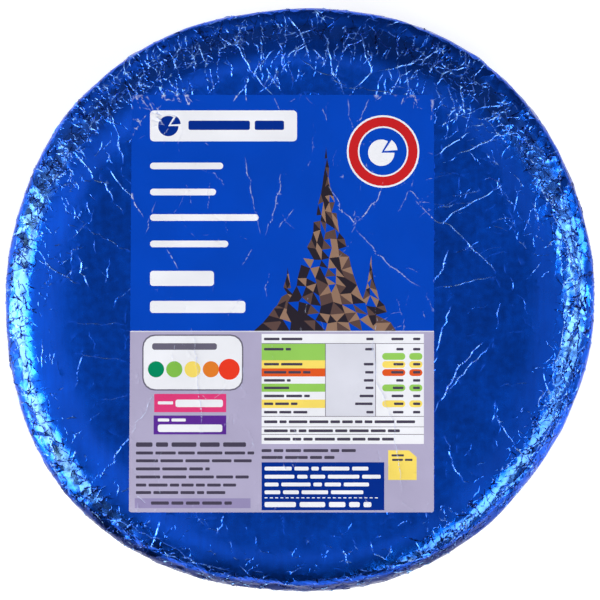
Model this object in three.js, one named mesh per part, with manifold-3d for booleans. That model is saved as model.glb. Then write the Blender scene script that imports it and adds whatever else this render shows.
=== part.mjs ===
// A whole wheel of blue cheese, shut in one crumpled sheet of blue foil, with a thin printed label on its top face.
// Millimetres, +Z up. The origin is the middle of the underside, and the label reads from the -Y side.
// The foil is smooth and nearly flat on top, crumples where it goes over the rim, and is gathered underneath
// in pleats that all lie over to the same side, round a patch that is pressed flat.

import Module from "manifold-3d";
import * as THREE from "three";
import { SimplexNoise } from "three/addons/math/SimplexNoise.js";
import { mergeVertices } from "three/addons/utils/BufferGeometryUtils.js";

const wasm = await Module();
wasm.setup();

// The wheel
const WHEEL_RADIUS = 99;
const WHEEL_HEIGHT = 78;

// Its shoulder: the slope in degrees at each distance along the foil from the middle of the top
const SHOULDER_TURNS = [
  { along: 74, slope: 0 },
  { along: 80, slope: 2.5 },
  { along: 86, slope: 8 },
  { along: 89.75, slope: 15 },
  { along: 92.5, slope: 28 },
  { along: 96.5, slope: 34 },
  { along: 100.5, slope: 42 },
  { along: 101.75, slope: 58 },
  { along: 103.25, slope: 75 },
  { along: 106, slope: 90 },
];
const FOIL_STEP = 0.25;

// The barrelled side and the rounded foot
const SIDE_BULGE = 0.5;
const FOOT_REACH = 13;
const FOOT_RISE = 13;
const FOOT_POWER = 2.1;

// How far the hand-wrapped outline is from a circle: lobes round the wheel, and each lobe's cosine and sine part
const OUTLINE_LOBES = [
  { lobes: 2, cosine: 0.35, sine: 1.01 },
  { lobes: 3, cosine: 0.16, sine: 0.11 },
  { lobes: 4, cosine: -0.97, sine: 0.1 },
  { lobes: 5, cosine: 0.39, sine: -0.07 },
  { lobes: 6, cosine: 0.18, sine: -0.15 },
];

// The top face's slow swells under the foil
const SWELL_HEIGHT = 0.3;
const SWELL_LENGTH = 46;

// The crumpled band over the rim and down the side: folds that run over the rim, and dents between them
const FOLD_DEPTH = 0.8;
const FOLD_WIDTH = 13;
const FOLD_RUN = 44;
const DENT_DEPTH = 1.3;
const DENT_LENGTH = 10;
const MEAN_CRUMPLE = 0.7;
const CRUMPLE_START_RADIUS = 85;
const CRUMPLE_FULL_RADIUS = 95;

// The pleats of the gathered foil
const PLEAT_COUNT = 24;
const PLEAT_DEPTH_BELOW = 2.0;
const PLEAT_DEPTH_SIDE = 1.2;
const PLEAT_TOP = 52;
const PRESSED_PATCH_RADIUS = 30;
const PLEAT_FULL_RADIUS = 46;

// The label
const LABEL_WIDTH = 100.7;
const LABEL_LENGTH = 139.2;
const LABEL_CENTRE_X = -5.7;
const LABEL_CENTRE_Y = -1.2;
const LABEL_CORNER = 0.8;
const LABEL_THICKNESS = 0.3;
const LABEL_GAP = 0.3;
const LABEL_LEAN = 1.0;

// How finely the solids are faceted
const SEGMENTS = 96;
const TOP_RINGS = 7;
const SIDE_RINGS = 6;
const FOOT_RINGS = 4;
const UNDERSIDE_RINGS = 7;
const NOISE_SEED = 19;

const foilMaterial = new THREE.MeshStandardMaterial({ color: 0x0a3fa6, roughness: 0.28, metalness: 1 });
const labelMaterial = new THREE.MeshStandardMaterial({ color: 0x0d49c2, roughness: 0.4, metalness: 0 });

// A small seeded generator, so that the crumples come out the same each time
function seededRandom(seed) {
  let state = seed;
  return () => {
    state = (state * 16807) % 2147483647;
    return state / 2147483647;
  };
}

const noise = new SimplexNoise({ random: seededRandom(NOISE_SEED) });

// The shoulder's points, which follow the foil as it turns down: how far out each is, and how far down
function shoulderPoints() {
  const points = [];
  let before = { along: 0, slope: 0 };
  let out = 0;
  let down = 0;
  for (const turn of SHOULDER_TURNS) {
    for (let along = before.along + FOIL_STEP; along <= turn.along; along += FOIL_STEP) {
      const slope = THREE.MathUtils.mapLinear(along, before.along, turn.along, before.slope, turn.slope);
      out += FOIL_STEP * Math.cos(THREE.MathUtils.degToRad(slope));
      down += FOIL_STEP * Math.sin(THREE.MathUtils.degToRad(slope));
    }
    points.push({ out, down });
    before = turn;
  }
  return points.map((point) => ({ out: (point.out * WHEEL_RADIUS) / out, down: point.down }));
}

// The foot's corner, from u = 0 on the underside to u = 1 on the side: how far out, and how far up
function footCorner(u) {
  const angle = (u * Math.PI) / 2;
  return {
    out: FOOT_REACH * Math.sin(angle) ** (2 / FOOT_POWER),
    up: FOOT_RISE * (1 - Math.cos(angle) ** (2 / FOOT_POWER)),
  };
}

// The wheel's profile from the middle of the underside, out and up over the rim, to the middle of the top
function wheelProfile() {
  const points = [];
  const footRadius = WHEEL_RADIUS - FOOT_REACH;
  for (let i = 0; i < UNDERSIDE_RINGS; i += 1) {
    points.push(new THREE.Vector2((footRadius * i) / UNDERSIDE_RINGS, 0));
  }
  for (let i = 0; i < FOOT_RINGS; i += 1) {
    const corner = footCorner(i / FOOT_RINGS);
    points.push(new THREE.Vector2(footRadius + corner.out, corner.up));
  }
  const shoulder = shoulderPoints();
  const sideTop = WHEEL_HEIGHT - shoulder.at(-1).down;
  for (let i = 0; i < SIDE_RINGS; i += 1) {
    const share = i / SIDE_RINGS;
    const bulge = SIDE_BULGE * Math.sin(share * Math.PI);
    points.push(new THREE.Vector2(WHEEL_RADIUS + bulge, FOOT_RISE + share * (sideTop - FOOT_RISE)));
  }
  for (const point of shoulder.toReversed()) {
    points.push(new THREE.Vector2(point.out, WHEEL_HEIGHT - point.down));
  }
  for (let i = TOP_RINGS - 1; i >= 0; i -= 1) {
    points.push(new THREE.Vector2((shoulder[0].out * i) / TOP_RINGS, WHEEL_HEIGHT));
  }
  return points;
}

// How far the outline stands out from the circle at this angle
function outlineOffset(angle) {
  let offset = 0;
  for (const wave of OUTLINE_LOBES) {
    offset += wave.cosine * Math.cos(wave.lobes * angle) + wave.sine * Math.sin(wave.lobes * angle);
  }
  return offset;
}

// Pleats that lie over to one side: each climbs slowly over three quarters of its width, then drops back
function pleatShape(angle) {
  const uneven = 0.3 * Math.sin(3 * angle + 1) + 0.25 * Math.sin(7 * angle);
  const place = (angle * PLEAT_COUNT) / (2 * Math.PI) + uneven;
  const share = place - Math.floor(place);
  const climb = 0.75;
  return share < climb ? share / climb : (1 - share) / (1 - climb);
}

// The foil's relief at a point of the plain wheel, measured outwards
function foilRelief(point) {
  const radius = Math.hypot(point.x, point.y);
  const angle = Math.atan2(point.y, point.x);
  const onTop = point.z > WHEEL_HEIGHT / 2;

  const swell = onTop
    ? SWELL_HEIGHT * noise.noise(point.x / SWELL_LENGTH, point.y / SWELL_LENGTH)
    : 0;

  const towardsRim = THREE.MathUtils.smoothstep(radius, CRUMPLE_START_RADIUS, CRUMPLE_FULL_RADIUS);
  const onRim = WHEEL_RADIUS / FOLD_WIDTH;
  const fold = Math.abs(noise.noise3d(
    Math.cos(angle) * onRim,
    Math.sin(angle) * onRim,
    point.z / FOLD_RUN,
  ));
  const dent = Math.abs(noise.noise3d(
    point.x / DENT_LENGTH,
    point.y / DENT_LENGTH,
    point.z / DENT_LENGTH,
  ));
  const crumple = -towardsRim * (FOLD_DEPTH * fold + DENT_DEPTH * dent - MEAN_CRUMPLE);

  const belowFace = THREE.MathUtils.smoothstep(radius, PRESSED_PATCH_RADIUS, PLEAT_FULL_RADIUS);
  const upTheSide = 1 - THREE.MathUtils.smoothstep(point.z, FOOT_RISE, PLEAT_TOP);
  const pleatDepth = point.z < 1 ? PLEAT_DEPTH_BELOW * belowFace : PLEAT_DEPTH_SIDE * upTheSide;
  const pleat = onTop ? 0 : -pleatDepth * pleatShape(angle);

  const onUnderside = point.z < 1;
  return onUnderside ? pleat : swell + crumple + pleat;
}

// Leaves out the triangles that closed up where the profile meets the axis
function dropClosedTriangles(geometry) {
  const kept = [];
  const index = geometry.index.array;
  for (let i = 0; i < index.length; i += 3) {
    const [a, b, c] = [index[i], index[i + 1], index[i + 2]];
    if (a !== b && b !== c && c !== a) {
      kept.push(a, b, c);
    }
  }
  geometry.setIndex(kept);
  return geometry;
}

// The wheel in its foil: a turned profile, pushed out to the true outline and crumpled along its own normals
function foilWrapGeometry() {
  const turned = new THREE.LatheGeometry(wheelProfile(), SEGMENTS);
  turned.rotateX(Math.PI / 2);
  turned.deleteAttribute("normal");
  turned.deleteAttribute("uv");
  const skin = dropClosedTriangles(mergeVertices(turned, 1e-3));
  skin.computeVertexNormals();

  const position = skin.attributes.position;
  const normals = skin.attributes.normal;
  const point = new THREE.Vector3();
  const outwards = new THREE.Vector3();
  for (let i = 0; i < position.count; i += 1) {
    point.fromBufferAttribute(position, i);
    outwards.fromBufferAttribute(normals, i);
    const radius = Math.hypot(point.x, point.y);
    const relief = foilRelief(point);
    const stretch = 1 + (outlineOffset(Math.atan2(point.y, point.x)) * radius) / WHEEL_RADIUS ** 2;
    point.x *= stretch;
    point.y *= stretch;
    point.addScaledVector(outwards, relief);
    point.z = Math.max(point.z, 0);
    position.setXYZ(i, point.x, point.y, point.z);
  }
  skin.deleteAttribute("normal");
  return skin;
}

// A closed three.js geometry as a solid that can be cut, and back again
function solidOf(geometry) {
  const bare = geometry.clone();
  bare.deleteAttribute("normal");
  bare.deleteAttribute("uv");
  const merged = mergeVertices(bare, 1e-4);
  const mesh = new wasm.Mesh({
    numProp: 3,
    vertProperties: new Float32Array(merged.attributes.position.array),
    triVerts: new Uint32Array(merged.index.array),
  });
  return new wasm.Manifold(mesh);
}

function geometryOf(solid) {
  const mesh = solid.getMesh();
  const geometry = new THREE.BufferGeometry();
  geometry.setAttribute("position", new THREE.BufferAttribute(mesh.vertProperties, 3));
  geometry.setIndex(new THREE.BufferAttribute(mesh.triVerts, 1));
  return geometry;
}

// The label's outline seen from above: a rectangle whose left edge leans out a little towards the reader
function labelOutline() {
  const left = LABEL_CENTRE_X - LABEL_WIDTH / 2;
  const right = LABEL_CENTRE_X + LABEL_WIDTH / 2;
  const near = LABEL_CENTRE_Y - LABEL_LENGTH / 2;
  const far = LABEL_CENTRE_Y + LABEL_LENGTH / 2;
  const outline = new THREE.Shape();
  outline.moveTo(left - LABEL_LEAN + LABEL_CORNER, near);
  outline.lineTo(right - LABEL_CORNER, near);
  outline.quadraticCurveTo(right, near, right, near + LABEL_CORNER);
  outline.lineTo(right, far - LABEL_CORNER);
  outline.quadraticCurveTo(right, far, right - LABEL_CORNER, far);
  outline.lineTo(left + LABEL_CORNER, far);
  outline.quadraticCurveTo(left, far, left, far - LABEL_CORNER);
  outline.lineTo(left - LABEL_LEAN, near + LABEL_CORNER);
  outline.quadraticCurveTo(left - LABEL_LEAN, near, left - LABEL_LEAN + LABEL_CORNER, near);
  return outline;
}

// The label is a thin skin that follows the foil below it: the part of a tall block with the label's outline
// that lies between two copies of the wheel's surface, lifted by the gap, and by the gap and the thickness
function labelGeometry(foilWrap) {
  const lowest = WHEEL_HEIGHT / 2;
  const block = new THREE.ExtrudeGeometry(labelOutline(), {
    depth: WHEEL_HEIGHT,
    bevelEnabled: false,
    curveSegments: 2,
  });
  block.translate(0, 0, lowest);
  const foil = solidOf(foilWrap);
  const under = foil.translate([0, 0, LABEL_GAP]);
  const over = foil.translate([0, 0, LABEL_GAP + LABEL_THICKNESS]);
  return geometryOf(solidOf(block).intersect(over).subtract(under));
}

function namedMesh(name, geometry, material) {
  const mesh = new THREE.Mesh(geometry, material);
  mesh.name = name;
  return mesh;
}

// The wrapped wheel stands on the origin with its outline centred over it
function centredOverOrigin(geometry) {
  geometry.computeBoundingBox();
  const middle = geometry.boundingBox.getCenter(new THREE.Vector3());
  geometry.translate(-middle.x, -middle.y, 0);
  return geometry;
}

const foilWrap = centredOverOrigin(foilWrapGeometry());
const cheese = new THREE.Group();
cheese.add(namedMesh("foil_wrap", foilWrap, foilMaterial));
cheese.add(namedMesh("label", labelGeometry(foilWrap), labelMaterial));

export default cheese;
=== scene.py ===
# %% [markdown]
# # A wheel of blue cheese in crumpled blue foil
#
# The real thing is a whole 2.5 kg wheel, wrapped while it is fresh in one sheet of thin lacquered aluminium
# foil. The sheet lies nearly flat on top, gathers in fine creases where it goes over the rim, and is
# pleated underneath. A printed film label is stuck across the top, and takes the foil's creases with it.
#
# Thin foil has no thickness that anyone sees: what is seen is its creases. So most of this file decides
# where the creases run, and puts the mesh's own points along them, because a crease looks sharp only if
# edges lie on it.

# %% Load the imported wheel
import math

import bpy
import numpy as np
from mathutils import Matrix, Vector
from mathutils.geometry import delaunay_2d_cdt


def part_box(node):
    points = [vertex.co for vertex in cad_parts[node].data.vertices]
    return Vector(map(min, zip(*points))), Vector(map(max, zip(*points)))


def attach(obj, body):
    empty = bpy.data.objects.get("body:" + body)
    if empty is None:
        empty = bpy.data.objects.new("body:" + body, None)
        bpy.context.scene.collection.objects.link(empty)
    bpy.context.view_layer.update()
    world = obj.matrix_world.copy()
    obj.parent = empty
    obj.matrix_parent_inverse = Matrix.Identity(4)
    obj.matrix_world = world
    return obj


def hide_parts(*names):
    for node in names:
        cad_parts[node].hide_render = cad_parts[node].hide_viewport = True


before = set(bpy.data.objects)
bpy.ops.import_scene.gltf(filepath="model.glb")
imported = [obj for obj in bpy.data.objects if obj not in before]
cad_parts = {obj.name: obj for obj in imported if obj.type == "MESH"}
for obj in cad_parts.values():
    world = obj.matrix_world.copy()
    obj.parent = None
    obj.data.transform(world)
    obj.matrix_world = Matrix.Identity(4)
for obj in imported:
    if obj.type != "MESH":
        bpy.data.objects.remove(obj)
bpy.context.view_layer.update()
wheel_low, wheel_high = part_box("foil_wrap")
MM = 0.001
print("wheel in mm:", [round((h - l) / MM, 1) for l, h in zip(wheel_low, wheel_high)])

# %% [markdown]
# ## The camera and the studio
#
# The photo looks straight down with a long lens, so the sides hardly show. The studio is a white table
# under a pale sky, with three soft lights: a broad one low on the left, a small one on the right, and one
# nearer the reader at the lower right. A pool of light is painted on the table round the wheel: it glows a
# little there, so that it stays white in the picture, and its colour falls off to a pale grey further out.
# Foil mirrors the room: its calm top shows the sky overhead, and its rim shows the lights, so where a light
# stands matters more than its strength. The far and near sides of the room are left darker, so that the
# rim goes navy there.

# %% Camera
VIEW_WIDTH = 202.7 * MM
CAMERA_HEIGHT = 3.0
SENSOR_WIDTH = 36.0
FARTHEST_SEEN = 20

camera = bpy.data.objects.new("camera", bpy.data.cameras.new("camera"))
bpy.context.scene.collection.objects.link(camera)
camera.data.sensor_width = SENSOR_WIDTH
waist_height = (wheel_low.z + wheel_high.z) / 2
camera.data.lens = SENSOR_WIDTH * (CAMERA_HEIGHT - waist_height) / VIEW_WIDTH
camera.location = (0, 0, CAMERA_HEIGHT)
camera.data.clip_end = FARTHEST_SEEN
bpy.context.scene.camera = camera
print("lens in mm:", round(camera.data.lens))

# %% Nodes in one line each
# Where a noise from 0 to 1 has most of its values.
NOISE_ENDS = (0.3, 0.7)


def add(tree, kind, inputs=None, **options):
    """Adds a shader node with its options. An input is a value, or another node's output to link."""
    node = tree.nodes.new("ShaderNode" + kind)
    for name, value in options.items():
        setattr(node, name, value)
    for name, value in (inputs or {}).items():
        if isinstance(value, bpy.types.NodeSocket):
            tree.links.new(value, node.inputs[name])
        else:
            node.inputs[name].default_value = value
    return node


def place_in(tree, output="Object"):
    return add(tree, "TexCoord").outputs[output]


def stored(tree, name, output="Fac"):
    """A value that the mesh itself carries at each point or face."""
    return add(tree, "Attribute", attribute_name=name).outputs[output]


def ramp(tree, value, ends, to=(0.0, 1.0), **options):
    """A value mapped from one pair of ends to another pair, and held at its ends."""
    inputs = {"Value": value, "From Min": ends[0], "From Max": ends[1], "To Min": to[0], "To Max": to[1]}
    return add(tree, "MapRange", inputs, **options).outputs["Result"]


def product(tree, first, second, **options):
    return add(tree, "Math", {0: first, 1: second}, operation="MULTIPLY", **options).outputs[0]


def mixed(tree, share, first, second, kind="RGBA"):
    """The first colour or value, with this share of the second in it."""
    return add(tree, "Mix", {"Factor": share, "A": first, "B": second}, data_type=kind).outputs["Result"]


def scaled(tree, colour, by):
    return add(tree, "VectorMath", {0: colour, "Scale": by}, operation="SCALE").outputs["Vector"]


def noise(tree, place, scale, detail, to, ends=NOISE_ENDS):
    """A soft noise that runs between two values. The scale is how many of its lumps fit in a metre."""
    lumps = add(tree, "TexNoise", {"Vector": place, "Scale": scale, "Detail": detail}).outputs["Fac"]
    return ramp(tree, lumps, ends, to)


def new_material(name):
    material = bpy.data.materials.new(name)
    material.use_nodes = True
    return material, material.node_tree, material.node_tree.nodes["Principled BSDF"]


print("node helpers ready")

# %% Floor
FLOOR_SIZE = 12.0
# The glow and the colour's fall-off from white to pale grey are a painted pool of light round the wheel.
FLOOR_GLOW = 0.46
FLOOR_WHITE = (0.78, 0.78, 0.84, 1)
FLOOR_FAR = (0.5, 0.5, 0.57, 1)
FLOOR_ROUGHNESS = 0.9
# How far from its middle the painted pool of light keeps the floor white, and where it has fallen off to the
# far tone, in metres.
FLOOR_ENDS = (0.146, 0.5)


def white_floor():
    """A white table under the wheel, with a painted pool of light: it glows round the wheel, and falls off to
    a pale grey.
    """
    mesh = bpy.data.meshes.new("floor")
    half = FLOOR_SIZE / 2
    corners = [(-half, -half, 0), (half, -half, 0), (half, half, 0), (-half, half, 0)]
    mesh.from_pydata(corners, [], [(0, 1, 2, 3)])
    floor = bpy.data.objects.new("floor", mesh)
    bpy.context.scene.collection.objects.link(floor)
    paper, tree, shader = new_material("floor_paper")
    distance = add(tree, "VectorMath", {0: place_in(tree)}, operation="LENGTH").outputs["Value"]
    away = ramp(tree, distance, FLOOR_ENDS, interpolation_type="SMOOTHSTEP")
    tree.links.new(mixed(tree, away, FLOOR_WHITE, FLOOR_FAR), shader.inputs["Base Color"])
    tree.links.new(ramp(tree, away, (0.0, 1.0), (FLOOR_GLOW, 0.0)), shader.inputs["Emission Strength"])
    shader.inputs["Emission Color"].default_value = (1, 1, 1, 1)
    shader.inputs["Roughness"].default_value = FLOOR_ROUGHNESS
    floor.data.materials.append(paper)
    return floor


floor = white_floor()
print("floor laid at height 0")

# %% Soft lights
WARM_WHITE = (1.0, 1.0, 0.75)
LIGHT_DISTANCE = 1.3
# Each softbox: azimuth from +X and elevation in degrees, width and height in metres, and watts.
SOFTBOXES = {
    "left_softbox": (190, 17, 1.25, 0.72, 25),
    "right_softbox": (4, 28, 0.6, 0.42, 8),
    "near_softbox": (-42, 31, 0.85, 0.58, 10),
}


def soft_light(name, azimuth, elevation, width, height, power):
    """A softbox that stands at this azimuth and elevation, and faces the wheel."""
    lamp = bpy.data.lights.new(name, "AREA")
    lamp.shape = "RECTANGLE"
    lamp.size = width
    lamp.size_y = height
    lamp.energy = power
    lamp.color = WARM_WHITE
    softbox = bpy.data.objects.new(name, lamp)
    bpy.context.scene.collection.objects.link(softbox)
    a, e = math.radians(azimuth), math.radians(elevation)
    towards = Vector((math.cos(a) * math.cos(e), math.sin(a) * math.cos(e), math.sin(e)))
    softbox.location = towards * LIGHT_DISTANCE + Vector((0, 0, waist_height))
    softbox.rotation_mode = "QUATERNION"
    softbox.rotation_quaternion = towards.to_track_quat("Z", "Y")
    softbox.visible_camera = False
    return softbox


for name, placing in SOFTBOXES.items():
    soft_light(name, *placing)

# %% Pale sky
SKY_OVERHEAD = 0.62
SKY_ABOVE_CAMERA = 0.3
SKY_FAR_SIDE = 0.17
SKY_NEAR_SIDE = 0.05
SKY_LEFT, SKY_RIGHT = 1.2, 0.8
SKY_COLOUR = (0.97, 0.98, 1.0, 1)
# A direction's x, y and z run from -1 to 1. These are the ends between which the sky changes.
DIM_ENDS = (0.05, 0.8)
LEFT_RIGHT_ENDS = (-0.15, 0.15)
CAMERA_ENDS = (0.997, 0.975)


def pale_sky():
    """A sky that is pale overhead and at both sides, most at the left.

    Low down beyond the wheel it is dim, and before the wheel dimmer still. Straight overhead is a small dim
    patch, where the camera would stand.
    """
    world = bpy.data.worlds.new("studio")
    bpy.context.scene.world = world
    world.use_nodes = True
    tree = world.node_tree
    x, y, z = add(tree, "SeparateXYZ", {"Vector": place_in(tree, "Generated")}).outputs
    beyond = add(tree, "Math", {0: y}, operation="ABSOLUTE").outputs[0]
    low = ramp(tree, y, (-1.0, 1.0), (SKY_NEAR_SIDE, SKY_FAR_SIDE))
    soft = {"interpolation_type": "SMOOTHSTEP"}
    dim = ramp(tree, beyond, DIM_ENDS, (SKY_OVERHEAD, low), **soft)
    sideways = ramp(tree, x, LEFT_RIGHT_ENDS, (SKY_LEFT, SKY_RIGHT), **soft)
    patch = ramp(tree, z, CAMERA_ENDS, (SKY_ABOVE_CAMERA, 1.0), **soft)
    strength = product(tree, product(tree, dim, sideways), patch)
    background = tree.nodes["Background"]
    background.inputs["Color"].default_value = SKY_COLOUR
    tree.links.new(strength, background.inputs["Strength"])
    return world


pale_sky()
bpy.context.scene.view_settings.view_transform = "Standard"
print("sky strength from", SKY_NEAR_SIDE, "to", SKY_OVERHEAD)

# %% [markdown]
# ## The wheel's form
#
# A turned profile gives the wheel: a flat top, a shoulder, a slightly barrelled side and a rounded foot. A
# mirror's look depends on its slope, so the shoulder is given by its slope at each distance along the
# sheet. A lathe could make it, but the foil needs more: a way to say where on the sheet a crease is. So the
# profile is measured along its own length, from the middle of the top. A place on the foil is then a
# distance along the sheet and an angle, and one function lays it on the wheel. The outline isn't a circle,
# as the wheel was wrapped by hand. All lengths from here on are in mm, until the meshes are made.

# %% Profile
RADIUS = 99.0
HEIGHT = 78.0
SIDE_BULGE = 0.5
FOOT_REACH = 13.0
FOOT_RISE = 13.0
FOOT_POWER = 2.1
PROFILE_STEPS = 60
SHEET_STEP = 0.25
# How steeply the top turns down: distance along the sheet in mm, and slope in degrees.
SHOULDER_TURNS = ((0, 0), (74, 0), (80, 2.5), (86, 8), (89.75, 15), (92.5, 28), (96.5, 34), (101.25, 41),
                  (102.5, 58), (104, 76), (106, 90))
FLAT_TO = 70


def shoulder():
    """How far out and how far down the sheet has come, step by step, where it turns over the edge."""
    along = np.arange(0, SHOULDER_TURNS[-1][0], SHEET_STEP)
    slope = np.radians(np.interp(along, *zip(*SHOULDER_TURNS)))
    out = np.cumsum(np.cos(slope)) * SHEET_STEP
    down = np.cumsum(np.sin(slope)) * SHEET_STEP
    bend = along > FLAT_TO
    return out[bend] * RADIUS / out[-1], down[bend]


def rounded_corner(u, reach, drop, power):
    """How far out and how far up, from u = 0 on the flat face to u = 1 on the side."""
    angle = u * math.pi / 2
    out = reach * np.sin(angle) ** (2 / power)
    return out, drop * (1 - np.clip(np.cos(angle), 0, 1) ** (2 / power))


def wheel_profile():
    """Points (out, up) from the middle of the top, over the rim, down the side and under to the middle.

    Also how many of them come before the side begins.
    """
    shoulder_out, shoulder_down = shoulder()
    u = np.linspace(1, 0, PROFILE_STEPS)
    foot_out, foot_up = rounded_corner(u, FOOT_REACH, FOOT_RISE, FOOT_POWER)
    side = np.linspace(0, 1, PROFILE_STEPS)[1:-1]
    side_out = RADIUS + SIDE_BULGE * np.sin(side * math.pi)
    side_up = (HEIGHT - shoulder_down[-1]) * (1 - side) + FOOT_RISE * side
    out = np.concatenate([[0], shoulder_out, side_out, RADIUS - FOOT_REACH + foot_out, [0]])
    up = np.concatenate([[HEIGHT], HEIGHT - shoulder_down, side_up, foot_up, [0]])
    return out, up, 1 + len(shoulder_out)


profile_out, profile_up, side_start = wheel_profile()
profile_steps = np.hypot(np.diff(profile_out), np.diff(profile_up))
profile_along = np.concatenate([[0], np.cumsum(profile_steps)])
SHEET_REACH = profile_along[-1]
WAIST_UP = 40.0
on_side = slice(side_start, side_start + PROFILE_STEPS - 2)
WAIST_ALONG = float(np.interp(-WAIST_UP, -profile_up[on_side], profile_along[on_side]))
print("sheet from the top's middle to the underside's, mm:", round(SHEET_REACH, 1))
print("and to the waist, mm:", round(WAIST_ALONG, 1))

# %% Outline
# How many times each lobe comes round the wheel, and how far it stands out as a cosine and as a sine, in mm.
OUTLINE_LOBES = ((2, 0.35, 1.01), (3, 0.16, 0.11), (4, -0.97, 0.1), (5, 0.39, -0.07), (6, 0.18, -0.15))
SLOPE_REACH = 1.0
AROUND_STEPS = 361


def polar(points):
    """The distance from the middle and the angle of flat points."""
    return np.hypot(points[:, 0], points[:, 1]), np.arctan2(points[:, 1], points[:, 0])


def from_polar(distance, angle):
    return np.stack([distance * np.cos(angle), distance * np.sin(angle)], 1)


def outline_offset(angle):
    """How far the outline stands out from the circle at this angle, in mm."""
    return sum(c * np.cos(n * angle) + s * np.sin(n * angle) for n, c, s in OUTLINE_LOBES)


def on_wheel(along, angle):
    """Lays places on the sheet on the plain wheel: points in mm, and the way out of the surface."""
    out = np.interp(along, profile_along, profile_out)
    up = np.interp(along, profile_along, profile_up)
    ahead = np.clip(along + SLOPE_REACH, 0, SHEET_REACH)
    behind = np.clip(along - SLOPE_REACH, 0, SHEET_REACH)
    d_out = np.interp(ahead, profile_along, profile_out) - np.interp(behind, profile_along, profile_out)
    d_up = np.interp(ahead, profile_along, profile_up) - np.interp(behind, profile_along, profile_up)
    length = np.hypot(d_out, d_up)
    out = out * (1 + outline_offset(angle) * out / RADIUS**2)
    points = np.stack([out * np.cos(angle), out * np.sin(angle), up], 1)
    normals = np.stack([-d_up * np.cos(angle), -d_up * np.sin(angle), d_out], 1) / length[:, None]
    return points, normals


def along_for_radius(radius):
    """Distance along the sheet of a place on top that is this far from the middle, seen from above."""
    return np.interp(radius, profile_out[:side_start], profile_along[:side_start])


around = np.linspace(0, 2 * math.pi, AROUND_STEPS)
waist_points, _ = on_wheel(np.full(AROUND_STEPS, WAIST_ALONG), around)
WHEEL_SHIFT = -(waist_points.min(0) + waist_points.max(0))[:2] / 2
print("outline across and deep, mm:", np.round(np.ptp(waist_points[:, :2], axis=0), 1))

# %% [markdown]
# ## Noise that folds like foil
#
# Cloth wrinkles are round, but foil keeps flat facets with sharp edges between them. A faceted noise gives
# that: random heights on the corners of a grid, joined by flat triangles. The grid is bent a little by a
# smooth noise, so that it doesn't show, and it can close on itself round the wheel.

# %% Lattice noises
# Large odd numbers that stir the bits, so that neighbouring corners get unlike heights.
STIR_I, STIR_J, STIR_SEED, STIR_ALL = 73856093, 19349663, 83492791, 1274126177
KEPT_BITS = 0xFFFFFF
HALF_OF_THEM = 0x7FFFFF
BENT_BY = 0.38


def lattice(i, j, seed):
    """A random number from -1 to 1 for each corner of a grid, always the same for the same seed."""
    stirred = (i.astype(np.int64) * STIR_I) ^ (j.astype(np.int64) * STIR_J) ^ (seed * STIR_SEED)
    stirred = (stirred ^ (stirred >> 13)) * STIR_ALL
    stirred = (stirred ^ (stirred >> 16)) & KEPT_BITS
    return stirred / HALF_OF_THEM - 1.0


def grid_corners(a, b, seed, closes_at):
    """The place inside its square, the heights of its four corners, and a fifth number to cut it by."""
    i, j = np.floor(a), np.floor(b)
    i1 = i + 1
    if closes_at:
        i0, i1 = np.mod(i, closes_at), np.mod(i1, closes_at)
    else:
        i0 = i
    return (
        a - i,
        b - j,
        lattice(i0, j, seed),
        lattice(i1, j, seed),
        lattice(i0, j + 1, seed),
        lattice(i1, j + 1, seed),
        lattice(i0, j, seed + 7),
    )


def smooth_noise(a, b, seed, closes_at=0):
    x, y, h00, h10, h01, h11, _ = grid_corners(a, b, seed, closes_at)
    x, y = x * x * (3 - 2 * x), y * y * (3 - 2 * y)
    return (h00 * (1 - x) + h10 * x) * (1 - y) + (h01 * (1 - x) + h11 * x) * y


def facet_noise(a, b, seed, closes_at=0):
    """Flat triangles between random heights, each square cut along one diagonal or the other."""
    bent_a = a + BENT_BY * smooth_noise(a, b, seed + 101, closes_at)
    bent_b = b + BENT_BY * smooth_noise(a, b, seed + 202, closes_at)
    x, y, h00, h10, h01, h11, cut = grid_corners(bent_a, bent_b, seed, closes_at)
    flip = cut > 0
    x = np.where(flip, 1 - x, x)
    h00, h10 = np.where(flip, h10, h00), np.where(flip, h00, h10)
    h01, h11 = np.where(flip, h11, h01), np.where(flip, h01, h11)
    lower = h00 + x * (h10 - h00) + y * (h11 - h10)
    upper = h00 + y * (h01 - h00) + x * (h11 - h01)
    return np.where(x > y, lower, upper)


trial = facet_noise(np.linspace(0, 9, 400), np.linspace(0, 5, 400), 3)
print("facet noise runs from", round(float(trial.min()), 2), "to", round(float(trial.max()), 2))

# %% [markdown]
# ## Where the creases run
#
# The large creases were placed one by one, by looking at the photograph: each is a few points in the
# photograph's own 600 x 600 frame, with a strength, which is below 0 for a groove. A random generator could
# have drawn them all, but then the wheel would be another wheel. The small ones are too many to place, so
# they are drawn at random, zone by zone, each zone with its own number, length and direction. In the real
# foil all are the same thing: a sharp narrow ridge or groove, with a flatter fold on both sides of it.

# %% Large creases
PHOTO_MIDDLE = (300.0, 299.5)
MM_PER_PIXEL = 0.3379
EDGE_MARGIN = 0.4

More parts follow.
